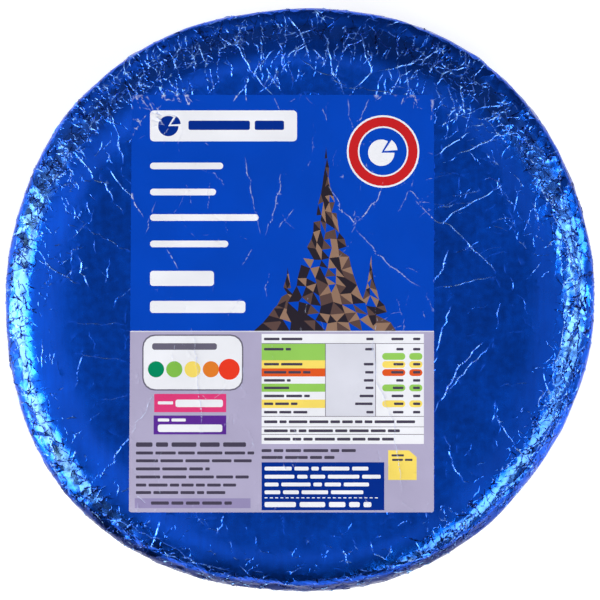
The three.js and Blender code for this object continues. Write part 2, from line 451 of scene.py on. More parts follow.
LARGE_CREASES = (
    # left of the label
    (1.0, ((111, 169), (123, 185), (135, 200), (146, 219))),
    (0.6, ((71, 150), (65, 166), (53, 186), (49, 191))),
    (0.8, ((76, 150), (86, 163), (97, 180), (107, 184), (114, 193), (117, 207))),
    (0.4, ((97, 209), (91, 223), (83, 231), (71, 242))),
    (0.5, ((86, 227), (101, 235), (121, 246), (134, 253))),
    (0.7, ((41, 258), (51, 266), (61, 271), (73, 280), (83, 283))),
    (0.6, ((81, 256), (84, 262), (82, 273), (87, 276), (92, 287))),
    (0.6, ((108, 104), (118, 128), (124, 150), (126, 168))),
    (0.5, ((97, 98), (108, 110), (112, 121), (122, 128))),
    (0.5, ((104, 142), (103, 152), (96, 159))),
    (0.5, ((46, 337), (45, 355), (46, 367))),
    (0.5, ((86, 348), (82, 365), (78, 386))),
    (0.3, ((70, 322), (98, 323), (130, 324))),
    (0.35, ((76, 352), (100, 356), (131, 361))),
    (0.3, ((100, 399), (118, 397), (132, 393))),
    (0.8, ((159, 386), (149, 407), (132, 432), (117, 455), (106, 469))),
    (0.6, ((110, 482), (103, 488), (98, 497))),
    # above the label
    (0.7, ((170, 49), (179, 72), (185, 88))),
    (0.6, ((141, 66), (149, 81))),
    (0.9, ((198, 38), (203, 57), (207, 70))),
    (1.0, ((233, 36), (247, 63), (262, 86), (275, 98), (280, 113))),
    (0.9, ((249, 77), (244, 90), (234, 104))),
    (0.6, ((248, 78), (246, 92), (247, 106))),
    (0.6, ((260, 36), (261, 52), (262, 70))),
    (0.5, ((238, 40), (247, 58), (250, 74))),
    (0.8, ((315, 10), (320, 18), (327, 24))),
    (0.8, ((302, 34), (306, 50), (311, 65))),
    (0.9, ((323, 33), (328, 50), (331, 73), (344, 98))),
    (0.8, ((360, 30), (364, 48), (369, 73), (357, 88), (346, 99))),
    (0.9, ((374, 75), (399, 69), (428, 56), (447, 46))),
    (0.7, ((300, 61), (319, 75), (346, 88))),
    (0.8, ((434, 87), (445, 73), (468, 67))),
    (0.5, ((336, 90), (370, 92), (400, 98))),
    (0.6, ((387, 72), (390, 84))),
    (0.5, ((397, 71), (399, 88))),
    (0.5, ((181, 94), (177, 80))),
    # right of the label
    (0.7, ((459, 90), (461, 104), (463, 117))),
    (0.6, ((471, 84), (472, 99))),
    (0.8, ((434, 157), (451, 143), (468, 133))),
    (1.0, ((484, 124), (498, 116), (511, 110))),
    (0.8, ((453, 157), (480, 143), (512, 132))),
    (0.5, ((436, 128), (456, 118), (486, 108), (505, 103))),
    (1.0, ((537, 172), (540, 191), (549, 210), (560, 237), (574, 268))),
    (0.8, ((441, 224), (459, 210), (491, 191), (501, 184))),
    (0.9, ((414, 201), (432, 220), (449, 225), (468, 247), (493, 272))),
    (0.5, ((434, 209), (452, 205), (470, 203))),
    (0.6, ((432, 285), (440, 268), (447, 249))),
    (0.6, ((432, 289), (461, 283), (493, 277))),
    (0.7, ((539, 248), (555, 239), (568, 247))),
    (0.9, ((449, 304), (441, 328), (434, 350))),
    (0.9, ((484, 338), (457, 366), (432, 412))),
    (0.7, ((487, 344), (464, 368), (446, 392))),
    (0.6, ((491, 413), (501, 424), (512, 447))),
    (0.5, ((442, 432), (449, 455), (461, 480))),
    (0.7, ((540, 371), (547, 394))),
    (0.3, ((497, 386), (512, 383), (528, 383))),
    # below the label
    (0.6, ((162, 518), (158, 532), (152, 545))),
    (0.7, ((225, 512), (221, 523), (218, 531))),
    (0.6, ((341, 545), (344, 552), (347, 560))),
    (0.7, ((370, 537), (373, 549), (384, 554))),
    (0.7, ((413, 537), (420, 552))),
    (0.4, ((150, 537), (165, 548), (190, 556))),
    # over the rim at the right and the bottom, where the smooth top ends
    (-0.8, ((575, 300), (575, 348), (568, 380), (554, 415), (524, 463), (493, 501))),
    (-0.7, ((493, 501), (466, 528), (434, 551), (396, 562), (350, 570), (300, 574))),
    (0.5, ((556, 405), (540, 434), (521, 461))),
    (0.4, ((430, 549), (404, 557), (372, 563))),
    (0.5, ((96, 507), (126, 520), (163, 536), (200, 556), (240, 566))),
    (0.5, ((563, 300), (560, 335), (548, 380))),
    # across the label
    (0.5, ((245, 157), (249, 180), (256, 210), (262, 237))),
    (0.5, ((283, 168), (277, 201), (265, 237))),
    (0.4, ((295, 209), (279, 229))),
    (0.4, ((253, 249), (242, 266))),
    (0.5, ((168, 249), (180, 270))),
    (0.4, ((159, 200), (150, 225), (146, 238))),
    (0.7, ((354, 225), (376, 201), (382, 182))),
    (0.6, ((325, 184), (336, 199), (344, 216), (354, 225), (350, 234))),
    (0.6, ((355, 230), (375, 253), (390, 266), (420, 287))),
    (0.6, ((193, 325), (197, 354), (200, 386), (203, 415), (206, 438))),
    (0.6, ((373, 300), (374, 331), (374, 378), (390, 413), (394, 438), (399, 472), (401, 503))),
    (0.4, ((347, 100), (348, 122), (352, 134))),
    (0.4, ((369, 100), (360, 120), (354, 124))),
    (0.4, ((322, 110), (326, 124))),
    (0.3, ((290, 420), (300, 445), (296, 470))),
)


def from_photo(pixels):
    """Points in the photograph's frame as points in mm on the wheel, seen from above."""
    x, y = np.asarray(pixels, float).T
    return np.stack([x - PHOTO_MIDDLE[0], PHOTO_MIDDLE[1] - y], 1) * MM_PER_PIXEL


def onto_sheet(plan):
    """Points seen from above as points on the top half of the sheet, spread out flat."""
    radius, angle = polar(plan - WHEEL_SHIFT)
    plain = radius / (1 + outline_offset(angle) * radius / RADIUS**2)
    along = along_for_radius(np.minimum(plain, RADIUS - EDGE_MARGIN))
    return from_polar(along, angle)


print("large creases:", len(LARGE_CREASES))

# %% [markdown]
# A crease has a path and a cross-section. The path wanders a little between the listed points, because
# a fold in foil is never ruled. Its height fades to nothing at both ends, and breaks up along the way. The
# cross-section is a narrow ridge, and a broad, low fold that stands higher on one side, which tilts the
# foil beside the ridge. A crease also leaves a mark: a pale line, partly cracked lacquer and partly
# painted highlight, or a dark line of painted shade.

# %% A crease's path
PATH_STEP = 0.85
KNOT_SPACING = 2.2
WANDER = 0.35
WANDER_SHARE = 0.07
RAGGED = 0.35
RAGGED_ENDS = (0.1, 1.8)
FADE = 0.22
FADE_POWER = 0.7
FADE_START = 0.01
REACH = 7.0
CHUNK = 4000
SLACK = 0.6 * PATH_STEP
RIDGE_HEIGHT = 0.2
RIDGE_WIDTH = 0.24
FOLD_HEIGHT = 0.06
FOLD_WIDTH = 1.4
LEAN_WIDTH = 0.5
MARK_WIDTH = 0.13
LARGE_LEAN = 0.8


class Crease:
    """One fold: its path on the spread-out sheet, and all along it its height and its mark, pale or dark."""

    def __init__(
        self, points, strength, width, lean, rng, ragged=RAGGED, step=PATH_STEP, mark=None, fade=FADE
    ):
        points = np.asarray(points, float)
        gaps = np.hypot(*np.diff(points, axis=0).T)
        reach = np.concatenate([[0], np.cumsum(gaps)])
        count = max(3, int(reach[-1] / step) + 1)
        share = np.linspace(0, 1, count)
        steps = share * reach[-1]
        self.path = np.stack([np.interp(steps, reach, points[:, k]) for k in (0, 1)], 1)
        ahead = np.gradient(self.path, axis=0)
        ahead /= np.maximum(np.hypot(*ahead.T), 1e-9)[:, None]
        self.across = np.stack([-ahead[:, 1], ahead[:, 0]], 1)
        knots = max(3, int(reach[-1] / KNOT_SPACING) + 2)
        sway = rng.normal(0, min(WANDER, WANDER_SHARE * reach[-1]), knots)
        sway[0] = sway[-1] = 0
        self.path += self.across * np.interp(share, np.linspace(0, 1, knots), sway)[:, None]
        ends = np.clip((np.minimum(share, 1 - share) + FADE_START) / fade, 0, 1)
        breaks = rng.normal(0, 1, 2 * knots)
        uneven = 1 + ragged * np.interp(share, np.linspace(0, 1, 2 * knots), breaks)
        shown = ends**FADE_POWER * np.clip(uneven, *RAGGED_ENDS)
        self.strength = strength * shown
        self.mark = (strength if mark is None else mark) * shown
        self.width = width
        self.lean = lean

    def add_to(self, points, height, crease_marks):
        """Adds the crease to the height of every point near it, in mm, and its pale or dark mark to the
        crease marks.
        """
        low, high = self.path.min(0) - REACH, self.path.max(0) + REACH
        near = np.flatnonzero(np.all((points > low) & (points < high), axis=1))
        if not len(near):
            return
        for begin in range(0, len(near), CHUNK):
            some = near[begin : begin + CHUNK]
            gap = points[some][:, None, :] - self.path[None, :, :]
            distance2 = (gap**2).sum(2)
            nearest = distance2.argmin(1)
            rows = np.arange(len(some))
            side = (gap[rows, nearest] * self.across[nearest]).sum(1)
            onward = np.sqrt(np.maximum(distance2[rows, nearest] - side**2, 0))
            distance = np.hypot(side, np.maximum(onward - SLACK, 0))
            strength, mark = self.strength[nearest], self.mark[nearest]
            ridge = np.clip(1 - distance / self.width, 0, 1)
            fold = np.exp(-distance / FOLD_WIDTH) * (1 + self.lean * np.tanh(side / LEAN_WIDTH))
            height[some] += strength * (RIDGE_HEIGHT * ridge + FOLD_HEIGHT * fold)
            crease_marks[some] += mark * np.exp(-((distance / MARK_WIDTH) ** 2))


rng = np.random.default_rng(7)
creases = []
for strength, pixels in LARGE_CREASES:
    path = onto_sheet(from_photo(pixels))
    lean = rng.choice([-LARGE_LEAN, LARGE_LEAN])
    creases.append(Crease(path, strength, RIDGE_WIDTH, lean, rng))
print("creases so far:", len(creases))

# %% Small creases, zone by zone
# Each zone: how many, radius from and to, angle from and to in degrees, direction (radial, round, level,
# steep or any), length from and to in mm, strength from and to, and the share that are dark lines of painted
# shade.
TOP_ZONES = (
    ("calm top", 170, 20, 86, 0, 360, "any", 3, 9, 0.04, 0.17, 0),
    ("across the label", 120, 0, 80, 0, 360, "steep", 3, 13, 0.1, 0.4, 0),
    ("upper edge", 170, 74, 97, 50, 130, "radial", 4, 14, 0.3, 1.0, 0.2),
    ("crinkles in the upper band", 150, 88, 98.8, 38, 142, "any", 2, 8, 0.3, 1.0, 0.25),
    ("crinkles at the lower edge", 170, 96.3, 99.2, 203, 342, "round", 1.5, 6, 0.35, 1.0, 0.4),
    ("upper left edge", 150, 76, 96, 112, 172, "any", 2, 7, 0.2, 0.6, 0.2),
    ("upper right edge", 110, 74, 96, 5, 62, "round", 3, 11, 0.15, 0.6, 0.2),
    ("beside the label's upper right", 34, 50, 84, 10, 48, "level", 5, 16, 0.12, 0.35, 0),
    ("lower edge", 80, 78, 93, 235, 305, "any", 2, 8, 0.15, 0.45, 0.1),
    ("lower right edge", 60, 82, 94, 300, 352, "any", 2, 6, 0.2, 0.5, 0.3),
    ("left edge", 100, 83, 92, 160, 238, "any", 1.5, 6, 0.15, 0.5, 0.3),
    ("dashes in the lower band", 150, 93, 98.4, 232, 318, "round", 1.5, 5, 0.3, 0.9, 0.2),
    ("scribbles in the left band", 190, 89.5, 98.4, 150, 238, "any", 2, 7, 0.3, 0.9, 0.7),
    ("scribbles in the upper left band", 260, 86, 98.6, 102, 156, "any", 1.5, 6, 0.3, 0.95, 0.4),
    ("scribbles in the right band", 210, 87.5, 98.2, -38, 42, "any", 2, 8, 0.3, 0.9, 0.55),
    ("crinkles in the lower right band", 110, 89, 98.6, 296, 340, "any", 2, 8, 0.3, 0.9, 0.5),
    ("gathers above the waist", 60, 98.6, 99.3, 0, 360, "radial", 5, 16, 0.3, 1.2, 0.2),
)
SMALL_WIDTHS = (0.16, 0.22)
SMALL_RAGGED = 0.5
SMALL_BEND = 0.28
DARK_MARK = -1.5
# Dark lines of painted shade are left to the crumpled band.
DARK_FROM = 88.0


def zone_creases(zones, rng, radius_to_sheet, step=PATH_STEP, widths=SMALL_WIDTHS):
    """Draws the small creases of these zones at random."""
    drawn = []
    for _, count, near, far, start, stop, way, short, long, faint, strong, dark_share in zones:
        for _ in range(count):
            along = radius_to_sheet(math.sqrt(rng.uniform(near**2, far**2)))
            angle = math.radians(rng.uniform(start, stop))
            length = rng.uniform(short, long) * rng.uniform(0.6, 1.0)
            heading = {
                "any": rng.uniform(0, math.pi),
                "radial": angle + rng.normal(0, 0.25),
                "round": angle + math.pi / 2 + rng.normal(0, 0.45),
                "level": rng.normal(0.35, 0.3),
                "steep": math.pi / 2 + rng.normal(0, 0.5),
            }[way]
            turns = heading + np.cumsum(rng.normal(0, SMALL_BEND, 3))
            steps = np.stack([np.cos(turns), np.sin(turns)], 1) * length / 3
            middle = along * np.array([math.cos(angle), math.sin(angle)])
            path = middle + np.concatenate([[[0, 0]], np.cumsum(steps, 0)]) - steps.sum(0) / 2
            strength = rng.uniform(faint, strong)
            raised = strength * rng.choice([1, 1, -1])
            dark = rng.random() < dark_share and along > DARK_FROM
            mark = DARK_MARK * strength if dark else strength
            width = rng.uniform(*widths)
            lean = rng.uniform(-1, 1)
            drawn.append(Crease(path, raised, width, lean, rng, SMALL_RAGGED, step, mark))
    return drawn


creases += zone_creases(TOP_ZONES, np.random.default_rng(23), along_for_radius)
print("creases with the small ones:", len(creases))

# %% [markdown]
# ## The crumpled rim and the gathered side
#
# Where the foil goes over the edge it has too much length round the wheel, so it crushes into small flat
# plates with sharp seams between them. On this wheel they are fine at the left, long and upright at the
# top, and broad at the right, where the smooth top ends in a fold. Noise on a grid can't draw them, as its
# bends fall between the mesh's points. So the plates come first: corners are scattered round the rim, each
# gets a height, and a triangulation joins them. The mesh's own points then run along the seams, where many
# are pinched into a crease. Below, the foil is drawn in: its wrinkles turn upright and become pleats that
# all lie over to the same side, and run in under the wheel to a patch that is pressed flat.

# %% Where the crumpled band begins, all round
RIM_STARTS = ((0, 87), (30, 86), (60, 85.5), (90, 88), (135, 86.5), (165, 90), (190, 91.5), (225, 89.5),
              (250, 93), (270, 93.5), (300, 90.5), (325, 88.5), (345, 87.5), (360, 87))


def round_table(table, angle):
    """Reads a table of (degrees, value) at angles in radians."""
    degrees, values = zip(*table)
    return np.interp(np.degrees(angle) % 360, degrees, values)


def ease(low, high, value):
    """0 up to the low end, 1 from the high end, and a smooth climb between them."""
    t = np.clip((value - low) / (high - low), 0, 1)
    return t * t * (3 - 2 * t)


starts = [start for _, start in RIM_STARTS]
print("crumpled band starts between", min(starts), "and", max(starts), "mm from the middle")

# %% Where the shoulder begins earlier or later
# How many mm earlier the top begins to turn down, at each angle. Below 0, it turns later.
SHOULDER_LEADS = ((0, 0.2), (25, 1.5), (55, 3.0), (90, 3.5), (125, 4.0), (150, 1.0), (170, -0.7), (205, -0.7),
                  (220, 0.8), (235, -1.0), (250, -4.0), (285, -4.0), (300, -2.8), (307, -3.0), (318, -1.8),
                  (331, -2.8), (345, -0.4), (360, 0.0))
LEAD_GROWS, LEAD_ENDS = (78, 88), (94, 101)


def shoulder_drop(along, angle):
    """How much lower the top lies near the edge where its turn begins earlier, in mm."""
    lead = round_table(SHOULDER_LEADS, angle) * ease(*LEAD_GROWS, along) * (1 - ease(*LEAD_ENDS, along))
    here = np.interp(along, profile_along, profile_up)
    return here - np.interp(along + lead, profile_along, profile_up)


trial = shoulder_drop(np.full(AROUND_STEPS, 90.0), around)
print("at 90 mm the lead lowers the top by, mm:", round(trial.min(), 2), "to", round(trial.max(), 2))

# %% Plates round the rim
LOOSE = 0.36
PLATE_TILT = 0.13
SAME_POINT = 1e-7
ANGLE_STEPS = 721
# The band closes on itself: this many plates at each end are there twice.
SHARED = 3


def triangles_between(points):
    """Delaunay triangles between flat points, facing up."""
    places, _, faces, *_ = delaunay_2d_cdt([Vector(p) for p in points.tolist()], [], [], 0, SAME_POINT, False)
    assert len(places) == len(points)
    return np.array(faces)


class Plates:
    """A band of flat plates round the wheel.

    Tables by angle give their width round the wheel, their length across the band and how tilted they are.
    """

    def __init__(self, first, last, widths, lengths, strengths, rng):
        self.first, self.lengths = first, lengths
        self.angle = np.linspace(0, 2 * math.pi, ANGLE_STEPS)
        per_step = RADIUS * np.diff(self.angle) / round_table(widths, self.angle[1:])
        passed = np.concatenate([[0], np.cumsum(per_step)])
        self.count = round(passed[-1])
        self.passed = passed * self.count / passed[-1]
        rows = int((last - first) / min(length for _, length in lengths)) + 1
        i, j = (grid.ravel() for grid in np.meshgrid(np.arange(self.count), np.arange(rows)))
        x = (i + 0.5 * (j % 2) + rng.uniform(-LOOSE, LOOSE, len(i))) % self.count
        corners = np.stack([x, j + rng.uniform(-LOOSE, LOOSE, len(j))], 1)
        along, angle = self.on_sheet(corners)
        corners, angle = corners[along < last], angle[along < last]
        smaller = np.minimum(round_table(widths, angle), round_table(lengths, angle))
        heights = rng.normal(0, 1, len(corners)) * PLATE_TILT * smaller * round_table(strengths, angle)
        low, high = corners[:, 0] < SHARED, corners[:, 0] > self.count - SHARED
        once_round = [self.count, 0]
        self.corners = np.concatenate([corners, corners[low] + once_round, corners[high] - once_round])
        self.heights = np.concatenate([heights, heights[low], heights[high]])
        self.faces = triangles_between(self.corners)

    def counted(self, along, angle):
        """Places on the sheet, counted in plates: how many round the rim, and how many across it."""
        passed = np.interp(angle % (2 * math.pi), self.angle, self.passed)
        return np.stack([passed, (along - self.first) / round_table(self.lengths, angle)], 1)

    def on_sheet(self, places):
        """The other way: from counts of plates to distances along the sheet and angles."""
        angle = np.interp(places[:, 0] % self.count, self.passed, self.angle)
        return self.first + places[:, 1] * round_table(self.lengths, angle), angle

    def relief(self, along, angle):
        """The height on the plates, in mm."""
        places = self.counted(along, angle)
        order = np.argsort(places[:, 0])
        sorted_x = places[order, 0]
        relief = np.zeros(len(places))
        for face in self.faces:
            a, b, c = self.corners[face]
            first, last = np.searchsorted(sorted_x, [min(a[0], b[0], c[0]), max(a[0], b[0], c[0])])
            some = order[first:last]
            if not len(some):
                continue
            (x, y), (bx, by), (cx, cy) = (places[some] - a).T, b - a, c - a
            area = bx * cy - by * cx
            at_b, at_c = (x * cy - y * cx) / area, (bx * y - by * x) / area
            within = (at_b >= 0) & (at_c >= 0) & (at_b + at_c <= 1)
            ha, hb, hc = self.heights[face]
            relief[some[within]] = (ha + at_b * (hb - ha) + at_c * (hc - ha))[within]
        return relief

    def edges(self, near, far):
        """Edges between plates whose middle is this far along the sheet: their ends' distances and angles."""
        pairs = {tuple(sorted((face[k], face[k - 1]))) for face in self.faces.tolist() for k in range(3)}
        for here, there in sorted(pairs):
            ends = self.corners[[here, there]]
            along, angle = self.on_sheet(ends)
            once = 0 <= ends[:, 0].mean() < self.count and np.ptp(ends[:, 0]) < SHARED
            if near < along.mean() < far and once:
                yield along, angle


# Their width round the rim and their length across it, in mm, at each angle.
PLATE_WIDTHS = ((0, 5.8), (30, 4.4), (60, 3.4), (90, 3.2), (120, 3.2), (150, 2.8), (175, 2.6), (200, 3.0),
                (225, 4.0), (270, 4.0), (300, 6.0), (330, 6.4), (360, 5.8))
PLATE_LENGTHS = ((0, 2.1), (30, 2.8), (60, 5.0), (90, 5.5), (120, 4.5), (150, 3.0), (175, 3.2), (200, 3.2),
                 (225, 2.6), (270, 1.9), (300, 2.2), (330, 2.2), (360, 2.1))
# How strongly the plates are tilted, at each angle.
PLATE_STRENGTHS = ((0, 0.65), (25, 0.5), (45, 0.35), (90, 0.28), (125, 0.22), (148, 0.3), (165, 0.4),
                   (225, 0.5), (250, 0.8), (285, 0.8), (300, 0.5), (318, 0.45), (335, 0.55), (360, 0.65))
RIM_BAND = (80.0, 118.0)
rim_plates = Plates(*RIM_BAND, PLATE_WIDTHS, PLATE_LENGTHS, PLATE_STRENGTHS, np.random.default_rng(77))
print("plates round the rim:", rim_plates.count, "and in all:", len(rim_plates.faces))

# %% Plates on the side
SIDE_WIDTHS = ((0, 8.5), (360, 8.5))
SIDE_LENGTHS = ((0, 12.0), (360, 12.0))
SIDE_STRENGTHS = ((0, 0.8), (360, 0.8))
SIDE_BAND = (100.0, 192.0)
side_plates = Plates(*SIDE_BAND, SIDE_WIDTHS, SIDE_LENGTHS, SIDE_STRENGTHS, np.random.default_rng(79))
# The side only dents inwards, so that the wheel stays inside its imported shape.
side_plates.heights = -np.abs(side_plates.heights)
print("plates round the side:", side_plates.count, "and in all:", len(side_plates.faces))

# %% How crumpled each place is
BAND_GROWS = (-3.5, 5)
CALMER_SIDE, SIDE_BEGINS = 0.5, (112, 124)
CALMER_PATCH, PATCH_BEGINS = 0.8, (SHEET_REACH - 40, SHEET_REACH - 30)


def crumpled_share(along, angle):
    """0 on the calm top, 1 in the crumpled band, and less again on the side and underneath."""
    start = along_for_radius(round_table(RIM_STARTS, angle))
    band = ease(*BAND_GROWS, along - start)
    side, patch = ease(*SIDE_BEGINS, along), ease(*PATCH_BEGINS, along)
    return band * (1 - CALMER_SIDE * side) * (1 - CALMER_PATCH * patch)


shares = [round(float(crumpled_share(along, 0.0)), 2) for along in (80, 90, 100)]
print("crumpled share at 80, 90 and 100 mm:", shares)

# %% Painted highlight and painted shade round the rim
# Where the crushed foil gets the most painted highlight, at each angle.
HIGHLIGHT_BY_ANGLE = ((0, 0.8), (20, 0.5), (40, 0.25), (60, 0.15), (125, 0.2), (150, 0.5), (163, 0.95), (212, 1.0),
                (228, 0.5), (245, 0.25), (290, 0.3), (305, 0.6), (325, 0.7), (342, 0.55), (352, 0.8),
                (360, 0.8))
# Where the wheel's edge gets painted shade, at each angle.
SHADE_BY_ANGLE = ((0, 0.45), (30, 0.55), (60, 0.4), (140, 0.2), (170, 0.0), (200, 0.0), (214, 0.7), (230, 1.0),
                 (300, 1.0), (316, 0.7), (332, 0.35), (345, 0.35), (360, 0.45))
# How much darker the side and the underside are made.
SIDE_DARKENING = 0.35
HIGHLIGHT_GROWS, SHADE_GROWS, BELOW_THEM = (-0.5, 3.0), (95.5, 98.5), (104, 112)


def rim_highlight_and_shade(along, angle):
    """From 1, the strongest painted highlight, to -1, the deepest painted shade. The side and underside are a
    little darker.
    """
    start = along_for_radius(round_table(RIM_STARTS, angle))
    # Here thin is the painted highlight, and thick the painted shade at the edge.
    thin = ease(*HIGHLIGHT_GROWS, along - start) * round_table(HIGHLIGHT_BY_ANGLE, angle)
    thick = ease(*SHADE_GROWS, along) * round_table(SHADE_BY_ANGLE, angle)
    below = ease(*BELOW_THEM, along)
    return (thin * (1 - thick) - thick) * (1 - below) - SIDE_DARKENING * below


trial = rim_highlight_and_shade(np.full(AROUND_STEPS, 97.0), around)
print("painted highlight and shade at 97 mm, round the wheel:", round(trial.min(), 2), "to", round(trial.max(), 2))

# %% The seams between the plates
SEAM_SHARE = 0.5
SEAM_STEP = 1.2
SIDE_SEAM_STEP = 2.2
SIDE_SEAM_WIDTHS = (0.3, 0.45)
SEAMS_FROM, SEAMS_TO, SIDE_SEAMS_TO = 83.0, 110.0, 186.0
SEAM_RAGGED = 0.4
SEAM_FADE = 0.05
SEAM_LEAST, SEAM_SPREAD, SEAM_MOST = 0.15, 0.3, 1.2
# A seam's mark: a pale line, partly cracked lacquer and partly painted highlight, or, for most, a dark line
# of painted shade.
SEAM_MARKS = (0.35, 0.9)
PLAIN_STEPS = 1.35
SIDE_PINCH = 0.8
# How strongly the seams are pinched, at each angle.
SEAM_STRENGTHS = ((0, 1.1), (25, 0.8), (45, 0.6), (90, 0.45), (125, 0.6), (148, 0.9), (165, 1.1), (225, 1.1),
                  (250, 0.9), (285, 0.9), (300, 0.6), (318, 0.6), (335, 0.9), (360, 1.1))


def on_lower_half(along, angle):
    return from_polar(SHEET_REACH - along, angle)


def plate_seams(edges, spread_out, pinch, step, widths, rng):
    """The seams between plates: some are pinched into creases, and the others are plain rows of points."""
    pinched, plain = [], []
    for along, angle in edges:
        path = spread_out(along, angle)
        if rng.random() < SEAM_SHARE:
            middle = path.mean(0)
            share = float(pinch(along.mean(), math.atan2(middle[1], middle[0])))
            strength = min(SEAM_MOST, SEAM_LEAST + rng.exponential(SEAM_SPREAD)) * share
            strength *= rng.choice([1, -1])
            mark = rng.uniform(*SEAM_MARKS) * share * rng.choice([1, -1, -1, -1])
            lean = rng.uniform(-1, 1)
            width = rng.uniform(*widths)
            pinched.append(Crease(path, strength, width, lean, rng, SEAM_RAGGED, step, mark, SEAM_FADE))
        else:
            count = max(2, int(np.hypot(*(path[1] - path[0])) / (PLAIN_STEPS * step)) + 1)
            plain.append(path[0] + (path[1] - path[0]) * np.linspace(0, 1, count)[:, None])
    return pinched, np.concatenate(plain)


def rim_pinch(along, angle):
    return crumpled_share(along, angle) * round_table(SEAM_STRENGTHS, angle)


def side_pinch(along, angle):
    return SIDE_PINCH


rim_edges = rim_plates.edges(SEAMS_FROM, SEAMS_TO)
rim_sizes = (rim_pinch, SEAM_STEP, SMALL_WIDTHS, np.random.default_rng(78))
seams, seam_points = plate_seams(rim_edges, from_polar, *rim_sizes)
upper_edges = side_plates.edges(SEAMS_TO, WAIST_ALONG)
lower_edges = side_plates.edges(WAIST_ALONG, SIDE_SEAMS_TO)
side_sizes = (side_pinch, SIDE_SEAM_STEP, SIDE_SEAM_WIDTHS, np.random.default_rng(80))
side_seams, side_points = plate_seams(upper_edges, from_polar, *side_sizes)
lower_seams, lower_seam_points = plate_seams(lower_edges, on_lower_half, *side_sizes)
creases += seams + side_seams
print("pinched seams on the rim:", len(seams), "and points on plain ones:", len(seam_points))
print("pinched seams on the side:", len(side_seams), "above the waist and", len(lower_seams), "below it")

# %% Pleats that run in under the wheel
PLEAT_COUNT = 24
PLEAT_DEPTH_BELOW = 2.0
PLEAT_DEPTH_SIDE = 1.2
PLEAT_CLIMB = 0.75
# How unevenly they follow each other: size, how many times round the wheel, and shift.
PLEAT_SWINGS = ((0.3, 3, 1), (0.25, 7, 0))
PLEAT_TURN, PLEAT_TURN_LENGTH = 0.02, 17
PATCH_RADIUS = 30.0
PLEAT_FULL_RADIUS = 46.0
PLEAT_TOP = 52.0
UNDERSIDE_TO = 1


def pleat_shape(angle):
    """0 to 1: each pleat climbs slowly over most of its width, then drops back."""
    uneven = sum(size * np.sin(times * angle + shift) for size, times, shift in PLEAT_SWINGS)
    place = angle * PLEAT_COUNT / (2 * math.pi) + uneven
    share = place - np.floor(place)
    return np.where(share < PLEAT_CLIMB, share / PLEAT_CLIMB, (1 - share) / (1 - PLEAT_CLIMB))


def pleat_turn(along):
    """How far the pleats swing to one side at this distance along the sheet, in radians."""
    return PLEAT_TURN * smooth_noise(along / PLEAT_TURN_LENGTH, along * 0, 45)


print("pleats:", PLEAT_COUNT, "each about", round(2 * math.pi * RADIUS / PLEAT_COUNT), "mm wide at the foot")

# %% The foil's relief
SWELL_HEIGHT, SWELL_LENGTH = 0.32, 46.0
# Height and length of the calm top's facets, and the seed of each set.
CALM_FACETS = ((0.09, 17.0, 31), (0.03, 6.5, 32), (0.009, 2.4, 33))
TOP_ENDS, SIDE_STARTS, SIDE_ENDS = (92, 108), (106, 114), (174, 186)
# The outermost plates are pressed flatter, so that the outline stays smooth.
OUTLINE_CALM, OUTLINE_BEGINS, RIM_ENDS = 0.55, (99, 104), (108, 116)
ROLL_LENGTH, ROLL_ACROSS, ROLL_HEIGHT = 14.0, 12.0, 0.3
UPRIGHT_WIDTH, UPRIGHT_LENGTH, UPRIGHT_HEIGHT, UPRIGHT_MEAN = 8.0, 34.0, 0.5, 0.5


def band_noise(angle, along, width, length, seed):
    """Facets in the band round the wheel: so wide round it, so long across it, closed on themselves."""
    count = round(2 * math.pi * RADIUS / width)
    return facet_noise(angle / (2 * math.pi) * count, along / length, seed, count)


def beside(along):
    """1 on the side, where the larger plates are, and 0 on top and underneath."""
    return ease(*SIDE_STARTS, along) * (1 - ease(*SIDE_ENDS, along))


def foil_relief(along, angle):
    """How far the foil stands out from the plain wheel, in mm, without its single creases."""
    out = np.interp(along, profile_along, profile_out)
    up = np.interp(along, profile_along, profile_up)
    u, v = along * np.cos(angle), along * np.sin(angle)
    on_top = 1 - ease(*TOP_ENDS, along)
    relief = SWELL_HEIGHT * on_top * smooth_noise(u / SWELL_LENGTH, v / SWELL_LENGTH, 30)
    for height, length, seed in CALM_FACETS:
        relief += height * on_top * facet_noise(u / length, v / length, seed)

    relief -= shoulder_drop(along, angle) * (along < WAIST_ALONG)
    crumpled = crumpled_share(along, angle)
    rim = crumpled * (1 - OUTLINE_CALM * ease(*OUTLINE_BEGINS, along)) * (1 - ease(*RIM_ENDS, along))
    relief += rim * rim_plates.relief(along, angle) + beside(along) * side_plates.relief(along, angle)
    relief += crumpled * ROLL_HEIGHT * band_noise(angle, along, ROLL_LENGTH, ROLL_ACROSS, 41)
    upright = UPRIGHT_MEAN + band_noise(angle, along, UPRIGHT_WIDTH, UPRIGHT_LENGTH, 44)
    relief += beside(along) * UPRIGHT_HEIGHT * upright

    under = up < UNDERSIDE_TO
    pleats_below = ease(PATCH_RADIUS, PLEAT_FULL_RADIUS, out) * under
    pleats_beside = (1 - ease(FOOT_RISE, PLEAT_TOP, up)) * ~under
    depth = PLEAT_DEPTH_BELOW * pleats_below + PLEAT_DEPTH_SIDE * pleats_beside
    relief -= depth * pleat_shape(angle + pleat_turn(along))
    flat = under & (out < PATCH_RADIUS)
    return np.where(flat, 0.0, relief)


for name, along in (("calm top", 60.0), ("rim", 98.0), ("side", 130.0), ("underside", 215.0)):
    trial = foil_relief(np.full(AROUND_STEPS, along), around)
    print(f"relief on the {name}, mm: {trial.min():.2f} to {trial.max():.2f}")

